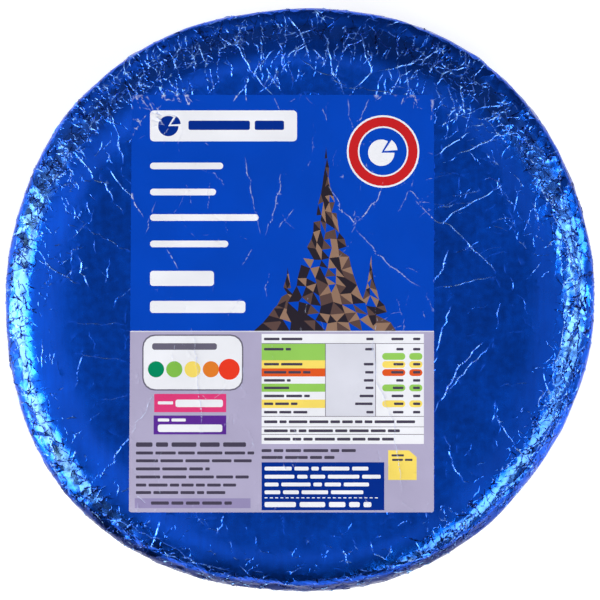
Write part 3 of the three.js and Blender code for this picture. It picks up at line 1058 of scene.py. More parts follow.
# %% [markdown]
# ## Points for the foil's mesh
#
# An even grid would need a point every 0.2 mm to draw a crease, millions in all. Instead the points go
# where the creases are: a row along each ridge, and rows close on both sides of it. The rest is filled with
# scattered points, about 1 mm apart on the calm top, a little wider at the rim, which is full of rows, and
# widest on the side and under the label, which nobody sees. A Delaunay triangulation joins them all, and
# its uneven triangles look like foil, where a grid's rows would show.

# %% The label's place
LABEL_WIDTH = 100.7
LABEL_LENGTH = 139.2
LABEL_CENTRE = np.array([-5.7, -1.2])
LABEL_LEAN = 1.0
# How far in from the label's edge the foil below it loses its detail, and is pressed down.
HIDDEN_MARGIN, PRESSED_MARGIN = 2.5, 1.0


def inside_label(plan, margin):
    """True where a point seen from above lies under the label, at least this far in from its edge."""
    x, y = np.abs(plan - LABEL_CENTRE).T
    return (x < LABEL_WIDTH / 2 - margin) & (y < LABEL_LENGTH / 2 - margin)


print("label in mm:", LABEL_WIDTH, "x", LABEL_LENGTH)

# %% Scattered points and rows along the creases
RING_POINTS = 640
CLOSEST = 0.55
JITTER = 0.48
CELL = 0.13
CELLS_ACROSS = 1_000_003
FILL_GAP, LOWER_FILL_GAP = 0.5, 0.8
RING_GAP, ROW_RING_GAP = 0.4, 1
# Distances between scattered points: on the calm top, and how much more at the rim and on the side.
CALM_SPACING, RIM_MORE, SIDE_MORE = 1.15, 0.4, 1.8
RIM_SPACED, SIDE_SPACED = (82, 90), (105, 112)
HIDDEN_SPACING = 3.2
# And on the lower half: on the underside, and how much more on the side.
LOWER_SPACING, LOWER_MORE, LOWER_SPACED = 2.4, 1.0, (82, 92)


def wanted_spacing_on_top(u, v):
    along = np.hypot(u, v)
    spacing = CALM_SPACING + RIM_MORE * ease(*RIM_SPACED, along) + SIDE_MORE * ease(*SIDE_SPACED, along)
    plan = np.stack([u, v], 1) + WHEEL_SHIFT
    return np.where(inside_label(plan, HIDDEN_MARGIN), HIDDEN_SPACING, spacing)


def wanted_spacing_below(u, v):
    return LOWER_SPACING + LOWER_MORE * ease(*LOWER_SPACED, np.hypot(u, v))


def scattered(reach, spacing, rng):
    """Points spread over a disc, thinned out to the spacing that is wanted at each place."""
    steps = np.arange(-reach, reach, CLOSEST)
    u, v = (grid.ravel() for grid in np.meshgrid(steps, steps))
    u = u + rng.uniform(-JITTER, JITTER, len(u)) * CLOSEST
    v = v + rng.uniform(-JITTER, JITTER, len(v)) * CLOSEST
    keep = (np.hypot(u, v) < reach - RING_GAP) & (rng.random(len(u)) < (CLOSEST / spacing(u, v)) ** 2)
    return np.stack([u[keep], v[keep]], 1)


def rows_along(creases):
    """Points along the ridge of each crease and at its foot on both sides, where its flat sides end."""
    rows = []
    for crease in creases:
        for side in (0.0, 1.0, -1.0):
            rows.append(crease.path + crease.across * crease.width * side)
    return np.concatenate(rows)


def cell_numbers(points, cell):
    """The plane is cut into square cells of this size: the number of the cell that each point lies in."""
    across, up = np.floor(points / cell).astype(np.int64).T
    return across * CELLS_ACROSS + up


def one_per_cell(points, cell):
    """The points, leaving out any that shares a cell with an earlier one."""
    _, kept = np.unique(cell_numbers(points, cell), return_index=True)
    return points[np.sort(kept)]


def clear_of(points, others, gap):
    """The points that share no cell of this size with the others."""
    return points[~np.isin(cell_numbers(points, gap), cell_numbers(others, gap))]


ring_angle = np.linspace(0, 2 * math.pi, RING_POINTS, endpoint=False)
rng = np.random.default_rng(5)

top_rows = np.concatenate([rows_along(creases), seam_points, side_points])
top_rows = top_rows[np.hypot(*top_rows.T) < WAIST_ALONG - ROW_RING_GAP]
hidden = inside_label(top_rows + WHEEL_SHIFT, HIDDEN_MARGIN)
top_rows = one_per_cell(top_rows[~hidden], CELL)
top_fill = clear_of(scattered(WAIST_ALONG, wanted_spacing_on_top, rng), top_rows, FILL_GAP)
top_ring = from_polar(WAIST_ALONG, ring_angle)
top_points = np.concatenate([top_rows, top_fill, top_ring])
print("points on top:", len(top_points), "of them along creases:", len(top_rows))

# %% Creases on the lower half of the sheet
# The lower half is spread out round its own middle, the centre of the underside.
LOWER_REACH = SHEET_REACH - WAIST_ALONG
LOWER_STEP = 2.0
LOWER_CELL = 0.2
PLEAT_EDGE_WIDTH = 0.4
PLEAT_EDGE_POINTS = 30
PLEAT_STRENGTHS = (0.5, 1.1)
# Between which distances from the underside's middle a pleat's edge begins, and where it ends.
PLEAT_EDGE_STARTS, PLEAT_EDGE_ENDS = (31, 38), (96, LOWER_REACH - 4)
FINE_ANGLES = 20000
LOWER_ZONES = (
    ("gathers under the side", 60, 84, LOWER_REACH - 2, 0, 360, "radial", 6, 22, 0.3, 1.2, 0.2),
    ("gathers in the pleats", 120, 34, 84, 0, 360, "radial", 4, 16, 0.2, 0.7, 0.2),
    ("pressed patch", 50, 2, 34, 0, 360, "any", 3, 14, 0.08, 0.25, 0.5),
)


def pleat_edges(rng):
    """The edge of each pleat, from the pressed patch out to the waist, as a crease."""
    angle = np.linspace(0, 2 * math.pi, FINE_ANGLES, endpoint=False)
    shape = pleat_shape(angle)
    tops = np.flatnonzero((shape > np.roll(shape, 1)) & (shape >= np.roll(shape, -1)))
    edges = []
    for top in tops:
        start, stop = rng.uniform(*PLEAT_EDGE_STARTS), rng.uniform(*PLEAT_EDGE_ENDS)
        reach = np.linspace(start, stop, PLEAT_EDGE_POINTS)
        path = from_polar(reach, angle[top] - pleat_turn(SHEET_REACH - reach))
        strength, lean = rng.uniform(*PLEAT_STRENGTHS), rng.uniform(-1, 1)
        edges.append(Crease(path, strength, PLEAT_EDGE_WIDTH, lean, rng, step=LOWER_STEP))
    return edges


lower_rng = np.random.default_rng(61)
lower_creases = pleat_edges(lower_rng) + lower_seams
lower_creases += zone_creases(LOWER_ZONES, lower_rng, float, LOWER_STEP, SIDE_SEAM_WIDTHS)
lower_rows = np.concatenate([rows_along(lower_creases), lower_seam_points])
lower_rows = lower_rows[np.hypot(*lower_rows.T) < LOWER_REACH - ROW_RING_GAP]
lower_rows = one_per_cell(lower_rows, LOWER_CELL)
lower_fill = clear_of(scattered(LOWER_REACH, wanted_spacing_below, rng), lower_rows, LOWER_FILL_GAP)
lower_ring = from_polar(LOWER_REACH, ring_angle)
lower_points = np.concatenate([lower_rows, lower_fill, lower_ring])
print("points below:", len(lower_points), "of them along creases:", len(lower_rows))

# %% Lift the points onto the wheel
PRESSED = 0.3
TOP_TO = 100


def lift(along, angle, folds, sheet_points):
    """Points in mm on the finished foil, and each one's crease marks, how crumpled it is, and its painted
    highlight and shade.
    """
    base, normals = on_wheel(along, angle)
    height = foil_relief(along, angle)
    crease_marks = np.zeros(len(along))
    for crease in folds:
        crease.add_to(sheet_points, height, crease_marks)
    base[:, :2] += WHEEL_SHIFT
    under_label = inside_label(base[:, :2], PRESSED_MARGIN) & (along < TOP_TO)
    height -= PRESSED * under_label
    lifted = base + normals * height[:, None]
    lifted[:, 2] = np.maximum(lifted[:, 2], 0)
    return lifted, (crease_marks, crumpled_share(along, angle), rim_highlight_and_shade(along, angle))


top_lifted, top_finish = lift(*polar(top_points), creases, top_points)
low_reach, low_angle = polar(lower_points)
low_lifted, low_finish = lift(SHEET_REACH - low_reach, low_angle, lower_creases, lower_points)
print("highest point of the foil, mm:", round(float(top_lifted[:, 2].max()), 2))

# %% Sew both halves into one mesh
SHARP_FROM = 9
BAKE_RADIUS = 0.285
BAKE_MIDDLES = (0.2929, 0.7071)
# Triangles that lean out by more degrees than these begin to get the painted highlight, and by more than
# those hardly do.
HIGHLIGHT_LEAN_FROM, HIGHLIGHT_LEAN_TO = (18, 28), (37, 45)
HIGHLIGHT_LESS = 0.9


def outward_lean(places, faces):
    """How far each triangle leans out from level, in degrees: below 0 where it leans in."""
    a, b, c = (places[faces[:, k]] for k in range(3))
    normal = np.cross(b - a, c - a)
    middle = (a + b + c)[:, :2]
    outward = (normal[:, :2] * middle).sum(1) / np.hypot(*middle.T)
    return np.degrees(np.arctan2(outward, normal[:, 2]))


def sewn_foil():
    """One mesh from both halves, which share the ring of points at the waist."""
    top_faces = triangles_between(top_points)
    low_faces = triangles_between(lower_points)[:, ::-1]
    lower_own = len(lower_points) - RING_POINTS
    index = np.arange(len(lower_points)) + len(top_points)
    index[lower_own:] = np.arange(len(top_points) - RING_POINTS, len(top_points))
    places = np.concatenate([top_lifted, low_lifted[:lower_own]]) * MM
    faces = np.concatenate([top_faces, index[low_faces]])
    mesh = bpy.data.meshes.new("foil_skin")
    mesh.from_pydata(places.tolist(), [], faces.tolist())
    for name, above, below in zip(("wear_and_painted_light", "crumpled"), top_finish, low_finish):
        values = mesh.attributes.new(name, "FLOAT", "POINT")
        values.data.foreach_set("value", np.concatenate([above, below[:lower_own]]))
    # Above 0 the values are painted highlight, kept to triangles that lean out towards the lights; below 0
    # they are painted shade.
    lacquer = np.concatenate([top_finish[2], low_finish[2][:lower_own]])[faces].mean(1)
    lean = outward_lean(places, faces)
    pale_highlight = ease(*HIGHLIGHT_LEAN_FROM, lean) * (1 - HIGHLIGHT_LESS * ease(*HIGHLIGHT_LEAN_TO, lean))
    values = mesh.attributes.new("painted_highlight_and_shade", "FLOAT", "FACE")
    values.data.foreach_set("value", np.where(lacquer > 0, lacquer * pale_highlight, lacquer))
    flat = np.concatenate([
        BAKE_MIDDLES[0] + BAKE_RADIUS * top_points[top_faces.ravel()] / WAIST_ALONG,
        BAKE_MIDDLES[1] + BAKE_RADIUS * lower_points[low_faces.ravel()] / LOWER_REACH,
    ])
    mesh.uv_layers.new(name="OFBake").data.foreach_set("uv", flat.ravel())
    mesh.shade_smooth()
    mesh.set_sharp_from_angle(angle=math.radians(SHARP_FROM))
    return mesh


foil = bpy.data.objects.new("foil_skin", sewn_foil())
bpy.context.scene.collection.objects.link(foil)
print("foil triangles:", len(foil.data.polygons))

# %% [markdown]
# ## Blue lacquered foil
#
# The foil is bare aluminium under a clear blue lacquer. So it mirrors like metal with a deep blue tint, and
# a weak, colourless mirror lies over it: the lacquer's own surface. Light and shade are also painted into
# its colour. Where the crushed plates lean out towards the side lights, a paler colour is painted in as a
# highlight. Along the lower edge painted shade makes it nearly navy, and on the side and underneath it is a
# little darker. Along a hard crease a pale silver-blue line is painted that shows in any light, partly
# cracked lacquer and partly painted highlight, while other folds hold a dark line of painted shade. A
# painted mask could tell these places apart, but the mesh knows them already, so they are values on its
# points and triangles. The metal isn't a clean mirror either: rolling and handling leave it softly mottled,
# which the two bumps give. And as any metal loses its tint at a glancing angle, the edge tint keeps the far
# rim from going white.

# %% Foil material
FOIL_BLUE = (0.002, 0.105, 0.86, 1)
FOIL_PAINTED_HIGHLIGHT = (0.05, 0.13, 0.29, 1)
FOIL_WEAR_AND_HIGHLIGHT = (0.2, 0.38, 0.82, 1)
# FOIL_DEEP is the painted shade of the dark crease lines and of the lower edge, and darkens the side.
FOIL_DEEP = (0.001, 0.015, 0.14, 1)
FOIL_EDGE = (0.7, 0.7, 0.8, 1)
FOIL_MOTTLE, MOTTLE_SCALE = (0.85, 1.15), 55.0
FOIL_STREAKS, STREAK_SCALE = (0.93, 1.07), 600.0
ROLLED_ALONG = (1.0, 0.1, 1.0)
# How strong a mark must be to show, where it shows fully, and how much of the foil's colour it then hides.
PALE_MARKS, DARK_MARKS, MARK_HIDES = (0.12, 0.7), (-0.05, -0.35), (0.0, 0.95)
print("foil from painted highlight to painted shade:", FOIL_PAINTED_HIGHLIGHT[:3], FOIL_BLUE[:3], FOIL_DEEP[:3])

# %% How the foil mirrors
FOIL_ROUGHNESS, PATCH_SCALE = (0.2, 0.28), 420.0
WORN_ROUGHNESS = 0.5
COAT_WEIGHT, COAT_ROUGHNESS = 0.18, 0.1
CRINKLE_DEPTH, CRINKLE_SCALE = 0.00005, 420.0
GRAIN_DEPTH, GRAIN_SCALE, GRAIN_STRENGTH = 0.00003, 1500.0, 0.3


def foil_colour(tree, place, pale_highlight):
    """The lacquer's blue with painted highlight and painted shade, and over it the pale lines, partly cracked
    lacquer and partly painted highlight, and the dark lines of painted shade.
    """
    mottle = noise(tree, place, MOTTLE_SCALE, 3.0, FOIL_MOTTLE)
    rolled = add(tree, "VectorMath", {0: place, 1: ROLLED_ALONG}, operation="MULTIPLY").outputs["Vector"]
    streaks = noise(tree, rolled, STREAK_SCALE, 3.0, FOIL_STREAKS)
    # thin carries the painted highlight, and thick the painted shade.
    thin = stored(tree, "painted_highlight_and_shade")
    thick = product(tree, thin, -1.0, use_clamp=True)
    lacquer = mixed(tree, thick, mixed(tree, thin, FOIL_BLUE, FOIL_PAINTED_HIGHLIGHT), FOIL_DEEP)
    tint = scaled(tree, lacquer, product(tree, mottle, streaks))
    dark = ramp(tree, stored(tree, "wear_and_painted_light"), DARK_MARKS, MARK_HIDES)
    return mixed(tree, dark, mixed(tree, pale_highlight, tint, FOIL_WEAR_AND_HIGHLIGHT), FOIL_DEEP)


def foil_bumps(tree, place):
    """Crinkles where the foil is crumpled, and a fine grain everywhere."""
    inputs = {"Vector": place, "Scale": CRINKLE_SCALE, "Detail": 3.0}
    crinkle = add(tree, "TexNoise", inputs, noise_type="RIDGED_MULTIFRACTAL").outputs["Fac"]
    height = product(tree, crinkle, stored(tree, "crumpled"))
    crinkled = add(tree, "Bump", {"Height": height, "Strength": 1.0, "Distance": CRINKLE_DEPTH})
    inputs = {"Vector": place, "Scale": GRAIN_SCALE, "Detail": 3.0, "Roughness": 0.6}
    inputs = {
        "Height": add(tree, "TexNoise", inputs).outputs["Fac"],
        "Strength": GRAIN_STRENGTH,
        "Distance": GRAIN_DEPTH,
        "Normal": crinkled.outputs["Normal"],
    }
    return add(tree, "Bump", inputs).outputs["Normal"]


def lacquered_foil():
    material, tree, shader = new_material("blue_lacquered_foil")
    place = place_in(tree)
    # The pale crease lines are partly cracked lacquer and partly painted highlight; the dark ones are painted
    # shade.
    pale_highlight = ramp(tree, stored(tree, "wear_and_painted_light"), PALE_MARKS, MARK_HIDES)
    tree.links.new(foil_colour(tree, place, pale_highlight), shader.inputs["Base Color"])
    rough = noise(tree, place, PATCH_SCALE, 2.0, FOIL_ROUGHNESS)
    tree.links.new(mixed(tree, pale_highlight, rough, WORN_ROUGHNESS, "FLOAT"), shader.inputs["Roughness"])
    normal = foil_bumps(tree, place)
    tree.links.new(normal, shader.inputs["Normal"])
    tree.links.new(normal, shader.inputs["Coat Normal"])
    shader.inputs["Metallic"].default_value = 1.0
    shader.inputs["Coat Weight"].default_value = COAT_WEIGHT
    shader.inputs["Coat Roughness"].default_value = COAT_ROUGHNESS
    shader.inputs["Specular Tint"].default_value = FOIL_EDGE
    return material


foil.data.materials.append(lacquered_foil())
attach(foil, "root")
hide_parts("foil_wrap")
print("foil finished")

# %% [markdown]
# ## The printed label
#
# The label is a thin film, stuck down while the foil was still smooth, so every later crease runs through
# both. It is built as its own thin solid on the same heights as the foil. The print isn't a picture: its
# outlines are edges of the mesh, so each field of colour is a set of triangles, and stays sharp however
# near one looks. The shapes are listed from the back to the front, and each covers what it lies on. Rows of
# plain bars give the print its texture.

# %% Shapes of the print
# All places on the label are in mm from its middle, x to the right and y up.
ROUND_STEPS = 5
DISC_STEP = 9
BARE = 0.01
BAR_LENGTHS, BAR_GAP, LEAST_GAP = (2.2, 9.0), 0.75, 0.9
BAR_CORNER, LAST_BAR = 0.3, 1.2


def box(left, low, right, high, corner=0.0):
    """A rectangle, with rounded corners if a corner radius is given."""
    if corner <= 0:
        return np.array([(left, low), (right, low), (right, high), (left, high)])
    corner = min(corner, (right - left) / 2 - BARE, (high - low) / 2 - BARE)
    turns = np.radians(np.linspace(0, 90, ROUND_STEPS))
    outline = []
    for x, y, start in ((right, high, 0), (left, high, 90), (left, low, 180), (right, low, 270)):
        inward = [math.copysign(corner, x - left - BARE), math.copysign(corner, y - low - BARE)]
        middle = np.array([x, y]) - inward
        outline.append(middle + from_polar(corner, turns + math.radians(start)))
    return np.concatenate(outline)


def disc(x, y, radius, start=0, stop=360):
    """A disc, or a slice of one between two angles in degrees."""
    steps = max(8, int((stop - start) / DISC_STEP))
    angles = np.radians(np.linspace(start, stop, steps, endpoint=stop - start < 360))
    return np.array([x, y]) + from_polar(radius, angles)


def slice_of(x, y, radius, start, stop):
    """A wedge with its point at the middle of a disc."""
    return np.concatenate([disc(x, y, radius, start, stop), [(x, y)]])


def bars(ink, left, right, y, height, rng, longest=BAR_LENGTHS[1]):
    """A row of short bars of uneven length, one after the other, from left to right."""
    row = []
    place = left
    while place < right - LAST_BAR:
        end = min(place + rng.uniform(BAR_LENGTHS[0], longest), right)
        row.append((ink, box(place, y - height / 2, end, y + height / 2, BAR_CORNER * height)))
        place = end + BAR_GAP * max(height, LEAST_GAP)
    return row


def boxes(table):
    """The boxes of a table whose rows give an ink, and then what box() takes."""
    return [(ink, box(*sides)) for ink, *sides in table]


print("a rounded box has", len(box(0, 0, 4, 3, 1)), "points")

# %% A peak and a sign
HALF_WIDTH = LABEL_WIDTH / 2
HALF_LENGTH = LABEL_LENGTH / 2
FIELD_LINE = -9.1
# Each peak: where its feet are, its tip, and how many rows of facets it has.
PEAKS = (((-9.0, 12.0), (1.5, 12.0), 9), ((20.0, 38.0), (29.5, 16.0), 9), ((-2.0, 31.0), (14.5, 57.5), 22))
PEAK_SHADES = ("rock_dark", "rock", "rock_light", "blue")
# How often each of these shades comes up on a peak's left half, and on its right.
LEFT_SHADES, RIGHT_SHADES = (0.45, 0.25, 0.12, 0.18), (0.2, 0.32, 0.3, 0.18)
PEAK_SPREAD = 1.8
FACET_JITTER, LEAST_JITTER, ROW_JITTER = 0.12, 0.35, 0.9
SIGN_SHIFT, SIGN_RISE = 0.22, 0.6
# The sign's wedge and the rest of it, each between two angles in degrees.
SIGN_WEDGE, SIGN_REST = (4, 56), (60, 360)


def mountain(feet, tip, levels, rng):
    """A rocky peak of small flat facets, which stands on the line between the label's two fields."""
    rows = []
    for level in range(levels + 1):
        share = level / levels
        y = tip[1] + (FIELD_LINE - tip[1]) * share
        spread = share**PEAK_SPREAD
        left, right = (tip[0] + (foot - tip[0]) * spread for foot in feet)
        x = np.linspace(left, right, 2 + level // 3)
        jitter = FACET_JITTER * (right - left) / len(x) + LEAST_JITTER * (level > 0)
        between = 0 < level < levels
        row = []
        for here in x:
            aside = rng.uniform(-jitter, jitter)
            row.append((here + aside, y + rng.uniform(-ROW_JITTER, ROW_JITTER) * between))
        rows.append(row)
    facets = []
    for above, below in zip(rows, rows[1:]):
        for k in range(len(above) - 1):
            share = k / max(1, len(above) - 1)
            lit = LEFT_SHADES if share < 0.5 else RIGHT_SHADES
            corners = ((above[k], below[k], below[k + 1]), (above[k], below[k + 1], above[k + 1]))
            facets += [(PEAK_SHADES[rng.choice(4, p=lit)], np.array(triangle)) for triangle in corners]
        if len(below) > len(above):
            facets.append((PEAK_SHADES[rng.choice(4)], np.array((above[-1], below[-2], below[-1]))))
    return facets


def wheel_sign(ink, x, y, radius):
    """A round cheese with one wedge pulled out a little."""
    shift = SIGN_SHIFT * radius
    wedge = slice_of(x + shift, y + SIGN_RISE * shift, radius, *SIGN_WEDGE)
    return [(ink, slice_of(x, y, radius, *SIGN_REST)), (ink, wedge)]


print("facets on the peaks:", sum(len(mountain(*peak, np.random.default_rng(3))) for peak in PEAKS))

# %% The upper, blue half of the print
LEFT_MARGIN = -44.3
# The fields reach past the label's edge by this much, and are cut off there.
PAST_EDGE = 2
LEFT_PAST, RIGHT_PAST = -HALF_WIDTH - PAST_EDGE, HALF_WIDTH + PAST_EDGE
LOW_PAST, HIGH_PAST = -HALF_LENGTH - PAST_EDGE, HALF_LENGTH + PAST_EDGE
# Tables of boxes: ink, left, low, right, high, and the radius of the corners.
BACKGROUND = (
    ("blue", LEFT_PAST, FIELD_LINE, RIGHT_PAST, HIGH_PAST),
    ("white", LEFT_MARGIN, 54.1, 4.7, 64.4, 1.3),
)
PANEL_SIGN = ("navy", -38.2, 59.2, 3.4)
PANEL_BOXES = (("navy", -31.5, 57.9, -11.0, 61.0, 0.6), ("navy", -9.4, 57.9, 0.4, 61.0, 0.6))
# Long white bars: their height up, and where they end.
WHITE_BARS = ((45.9, -19.9), (37.2, -22.3), (28.7, -8.1), (19.9, -18.2))
BAR_RISE = 1.1
WHITE_BOXES = (("white", LEFT_MARGIN, 5.9, -23.0, 10.9, 1.0), ("white", LEFT_MARGIN, -3.1, -12.5, 0.9, 1.0))
EMBLEM = (33.4, 50.7)
EMBLEM_RINGS = (("white", 12.1), ("red", 11.5), ("white", 8.4), ("blue", 7.9))
EMBLEM_SIGN = ("white", EMBLEM[0] - 0.6, EMBLEM[1] - 0.4, 4.4)


def upper_print(rng):
    shapes = boxes(BACKGROUND) + wheel_sign(*PANEL_SIGN) + boxes(PANEL_BOXES)
    for y, end in WHITE_BARS:
        shapes.append(("white", box(LEFT_MARGIN, y - BAR_RISE, end, y + BAR_RISE, BAR_RISE)))
    shapes += boxes(WHITE_BOXES)
    for peak in PEAKS:
        shapes += mountain(*peak, rng)
    shapes += [(ink, disc(*EMBLEM, radius)) for ink, radius in EMBLEM_RINGS]
    return shapes + wheel_sign(*EMBLEM_SIGN)


print("shapes on the blue half:", len(upper_print(np.random.default_rng(3))))

# %% The table in the lavender half
TABLE_LEFT, TABLE_RIGHT = -7.1, 47.0
TABLE_TOP, TABLE_LOW = -10.1, -46.8
GRID_TOP, GRID_LOW = -13.3, -37.6
FIRST_COLUMN, LAST_COLUMN = 14.2, 30.9
BANDS = (("green", -13.3, -18.9), ("yellow", -18.9, -21.6), ("orange", -21.6, -24.3), ("green", -26.7, -29.4),
         ("yellow", -32.0, -34.8))
PILLS = (("green", -17.6), ("yellow", -20.3), ("orange", -23.0), ("green", -28.1), ("yellow", -33.4))
PILL_COLUMNS = ((33.1, 40.8), (42.1, 46.5))
PILL_RISE, PILL_CORNER = 1.15, 1.1
TABLE_RULES = (GRID_TOP, GRID_LOW, -41.1, -43.6)
HALF_RULE = 0.1
TABLE_ROWS = (-11.8, -15.2, -20.2, -22.9, -25.6, -28.1, -30.8, -33.4, -36.2)
ROW_HEIGHT, NOTE_HEIGHT, INSET = 0.85, 0.95, 0.8
# Between which places the bars of each column begin or end.
NAMES_END, VALUES_START, SHARES_START = (2, 12), (24, 28), (36, 38)
VALUES_END, SHARES_END, LAST_START, LAST_END = LAST_COLUMN - 0.7, 40.2, 43.4, 45.8
TABLE_NOTES = ((-39.4, 45.0), (-42.4, 39.0), (-45.2, 37.0))


def table_print(rng):
    shapes = [("white", box(TABLE_LEFT, TABLE_LOW, TABLE_RIGHT, TABLE_TOP))]
    shapes.append(("pale_grey", box(FIRST_COLUMN, GRID_LOW, LAST_COLUMN, GRID_TOP)))
    shapes += [(ink, box(TABLE_LEFT, low, FIRST_COLUMN, high)) for ink, high, low in BANDS]
    for ink, y in PILLS:
        for left, right in PILL_COLUMNS:
            shapes.append((ink, box(left, y - PILL_RISE, right, y + PILL_RISE, PILL_CORNER)))
    for y in TABLE_RULES:
        shapes.append(("grey", box(TABLE_LEFT, y - HALF_RULE, TABLE_RIGHT, y + HALF_RULE)))
    for x in (FIRST_COLUMN, LAST_COLUMN):
        shapes.append(("grey", box(x - HALF_RULE, GRID_LOW, x + HALF_RULE, GRID_TOP)))
    for y in TABLE_ROWS:
        shapes += bars("ink", TABLE_LEFT + INSET, rng.uniform(*NAMES_END), y, ROW_HEIGHT, rng)
        shapes += bars("ink", rng.uniform(*VALUES_START), VALUES_END, y, ROW_HEIGHT, rng)
        shapes += bars("ink", rng.uniform(*SHARES_START), SHARES_END, y, ROW_HEIGHT, rng)
        shapes += bars("ink", LAST_START, LAST_END, y, ROW_HEIGHT, rng)
    for y, end in TABLE_NOTES:
        shapes += bars("ink", TABLE_LEFT + INSET, end, y, NOTE_HEIGHT, rng)
    return shapes


print("shapes in the table:", len(table_print(np.random.default_rng(3))))

# %% The rest of the lavender half
LOWER_BOXES = (
    ("lavender", LEFT_PAST, LOW_PAST, RIGHT_PAST, FIELD_LINE),
    ("pale_grey", LEFT_PAST, FIELD_LINE - 0.35, RIGHT_PAST, FIELD_LINE),
    ("grey", -46.9, -29.0, -13.2, -10.3, 4.2),
    ("white", -46.45, -28.55, -13.65, -10.75, 3.9),
    ("grey", -43.6, -15.4, -22.0, -13.2, 0.8),
)
DOTS_Y = -21.9
DOTS = ((-42.3, 2.7, "deep_green"), (-36.2, 2.7, "leaf_green"), (-30.1, 2.7, "yellow"), (-24.0, 2.7, "amber"),
        (-17.9, 3.5, "scarlet"))
# A coloured bar, the row of bars on it (from, to, height up), and the white bar on it.
PINK_BADGE = (
    ("pink", -42.9, -36.2, -18.9, -30.1),
    (-41.7, -36.6, -33.1),
    ("white", -35.8, -34.5, -20.0, -32.0, 0.7),
)
PURPLE_BADGE = (
    ("purple", -43.1, -43.6, -18.9, -37.3),
    (-41.7, -32.4, -38.8),
    ("white", -41.7, -42.8, -20.2, -40.3, 0.7),
)
BADGE_BARS = 1.0
# Rows of bars: where each ends, its height up, and how tall its bars are.
PARAGRAPH_LEFT = -49.0
PARAGRAPH = ((-10.2, -47.0, 1.5), (-9.6, -49.8, 1.0), (-10.4, -52.4, 1.0), (-24.4, -55.1, 1.0),
             (-11.4, -57.8, 1.0), (-15.6, -60.5, 1.0), (-19.2, -63.0, 1.0))
LOW_STRIP = ("dusk", -49.4, -68.2, -10.8, -64.9)
STRIP_BARS = (-44.0, -17.0, -66.5, 1.1)
BELOW_TABLE = ((24.3, -49.0, 1.0), (19.0, -51.3, 1.0))
print("dots in the row:", len(DOTS), "and rows of bars below it:", len(PARAGRAPH))

# %% The dark panel and the card
PANEL = ("navy", TABLE_LEFT, -68.9, 33.8, -52.9)
PANEL_LEFT = TABLE_LEFT + 1.0
PANEL_ROWS = ((28.5, -55.0), (32.6, -57.7), (29.8, -60.3), (26.8, -62.9))
PANEL_BARS, PANEL_LONGEST = 1.25, 11
DASHES, DASH_SPACING, DASH_LENGTH = 22, 1.75, 1.0
DASH_LOW, DASH_HIGH = -64.9, -64.6
LAST_ROW = (29.5, -67.0, 1.7)
LAST_LONGEST = 14
CARD = ((35.1, -58.8), (44.6, -58.8), (44.6, -51.2), (42.0, -48.9), (35.1, -48.9))
CARD_ROWS = ((36.2, 42.2, -50.6, 0.7), (36.4, 43.2, -52.1, 0.7))


def panel_print(rng):
    shapes = boxes([PANEL])
    for end, y in PANEL_ROWS:
        shapes += bars("white", PANEL_LEFT, end, y, PANEL_BARS, rng, PANEL_LONGEST)
    for k in range(DASHES):
        x = PANEL_LEFT + DASH_SPACING * k
        shapes.append(("white", box(x, DASH_LOW, x + DASH_LENGTH, DASH_HIGH)))
    shapes += bars("white", PANEL_LEFT, *LAST_ROW, rng, LAST_LONGEST)
    shapes.append(("yellow", np.array(CARD)))
    for row in CARD_ROWS:
        shapes += bars("ink", *row, rng)
    return shapes


def lower_print(rng):
    shapes = boxes(LOWER_BOXES)
    shapes += [(ink, disc(x, DOTS_Y, radius)) for x, radius, ink in DOTS]
    for badge, row, white_bar in (PINK_BADGE, PURPLE_BADGE):
        shapes += boxes([badge]) + bars("white", *row, BADGE_BARS, rng) + boxes([white_bar])
    for row in PARAGRAPH:
        shapes += bars("ink", PARAGRAPH_LEFT, *row, rng)
    shapes += boxes([LOW_STRIP]) + bars("ink", *STRIP_BARS, rng) + table_print(rng)
    for row in BELOW_TABLE:
        shapes += bars("ink", TABLE_LEFT, *row, rng)
    return shapes + panel_print(rng)


print_rng = np.random.default_rng(14)
PRINT = upper_print(print_rng) + lower_print(print_rng)
print("shapes on the label:", len(PRINT))

# %% Points and edges for the label's mesh
EDGE_STEP = 1.1
LABEL_CORNER = 0.8
LABEL_SPACING = 0.95
LABEL_JITTER = 0.4
ROW_GAP, SCATTER_GAP = 0.2, 0.5
INNER = 0.99


def label_outline():
    """The label seen from above: its left edge leans out a little towards the reader."""
    outline = box(-HALF_WIDTH, -HALF_LENGTH, HALF_WIDTH, HALF_LENGTH, LABEL_CORNER)
    left = outline[:, 0] < 0
    outline[left, 0] -= LABEL_LEAN * (HALF_LENGTH - outline[left, 1]) / LABEL_LENGTH
    return outline


def in_steps(outline, step):
    """The same closed outline with points at most one step apart."""
    points = []
    for here, there in zip(outline, np.roll(outline, -1, axis=0)):
        count = max(1, math.ceil(np.hypot(*(there - here)) / step))
        points += [here + (there - here) * k / count for k in range(count)]
    return np.array(points)


def inside(outline, points):
    """True for each point that lies inside a closed outline."""
    found = np.zeros(len(points), bool)
    box_low, box_high = outline.min(0), outline.max(0)
    near = np.flatnonzero(np.all((points >= box_low) & (points <= box_high), axis=1))
    x, y = points[near].T
    crossed = np.zeros(len(near), bool)
    for (x0, y0), (x1, y1) in zip(outline, np.roll(outline, -1, axis=0)):
        spans = (y0 > y) != (y1 > y)
        with np.errstate(divide="ignore", invalid="ignore"):
            crossed ^= spans & (x < (x1 - x0) * (y - y0) / (y1 - y0) + x0)
    found[near] = crossed
    return found


def to_label(sheet_points):
    """From the spread-out sheet to places on the label."""
    points, _ = on_wheel(*polar(sheet_points))
    return points[:, :2] + WHEEL_SHIFT - LABEL_CENTRE


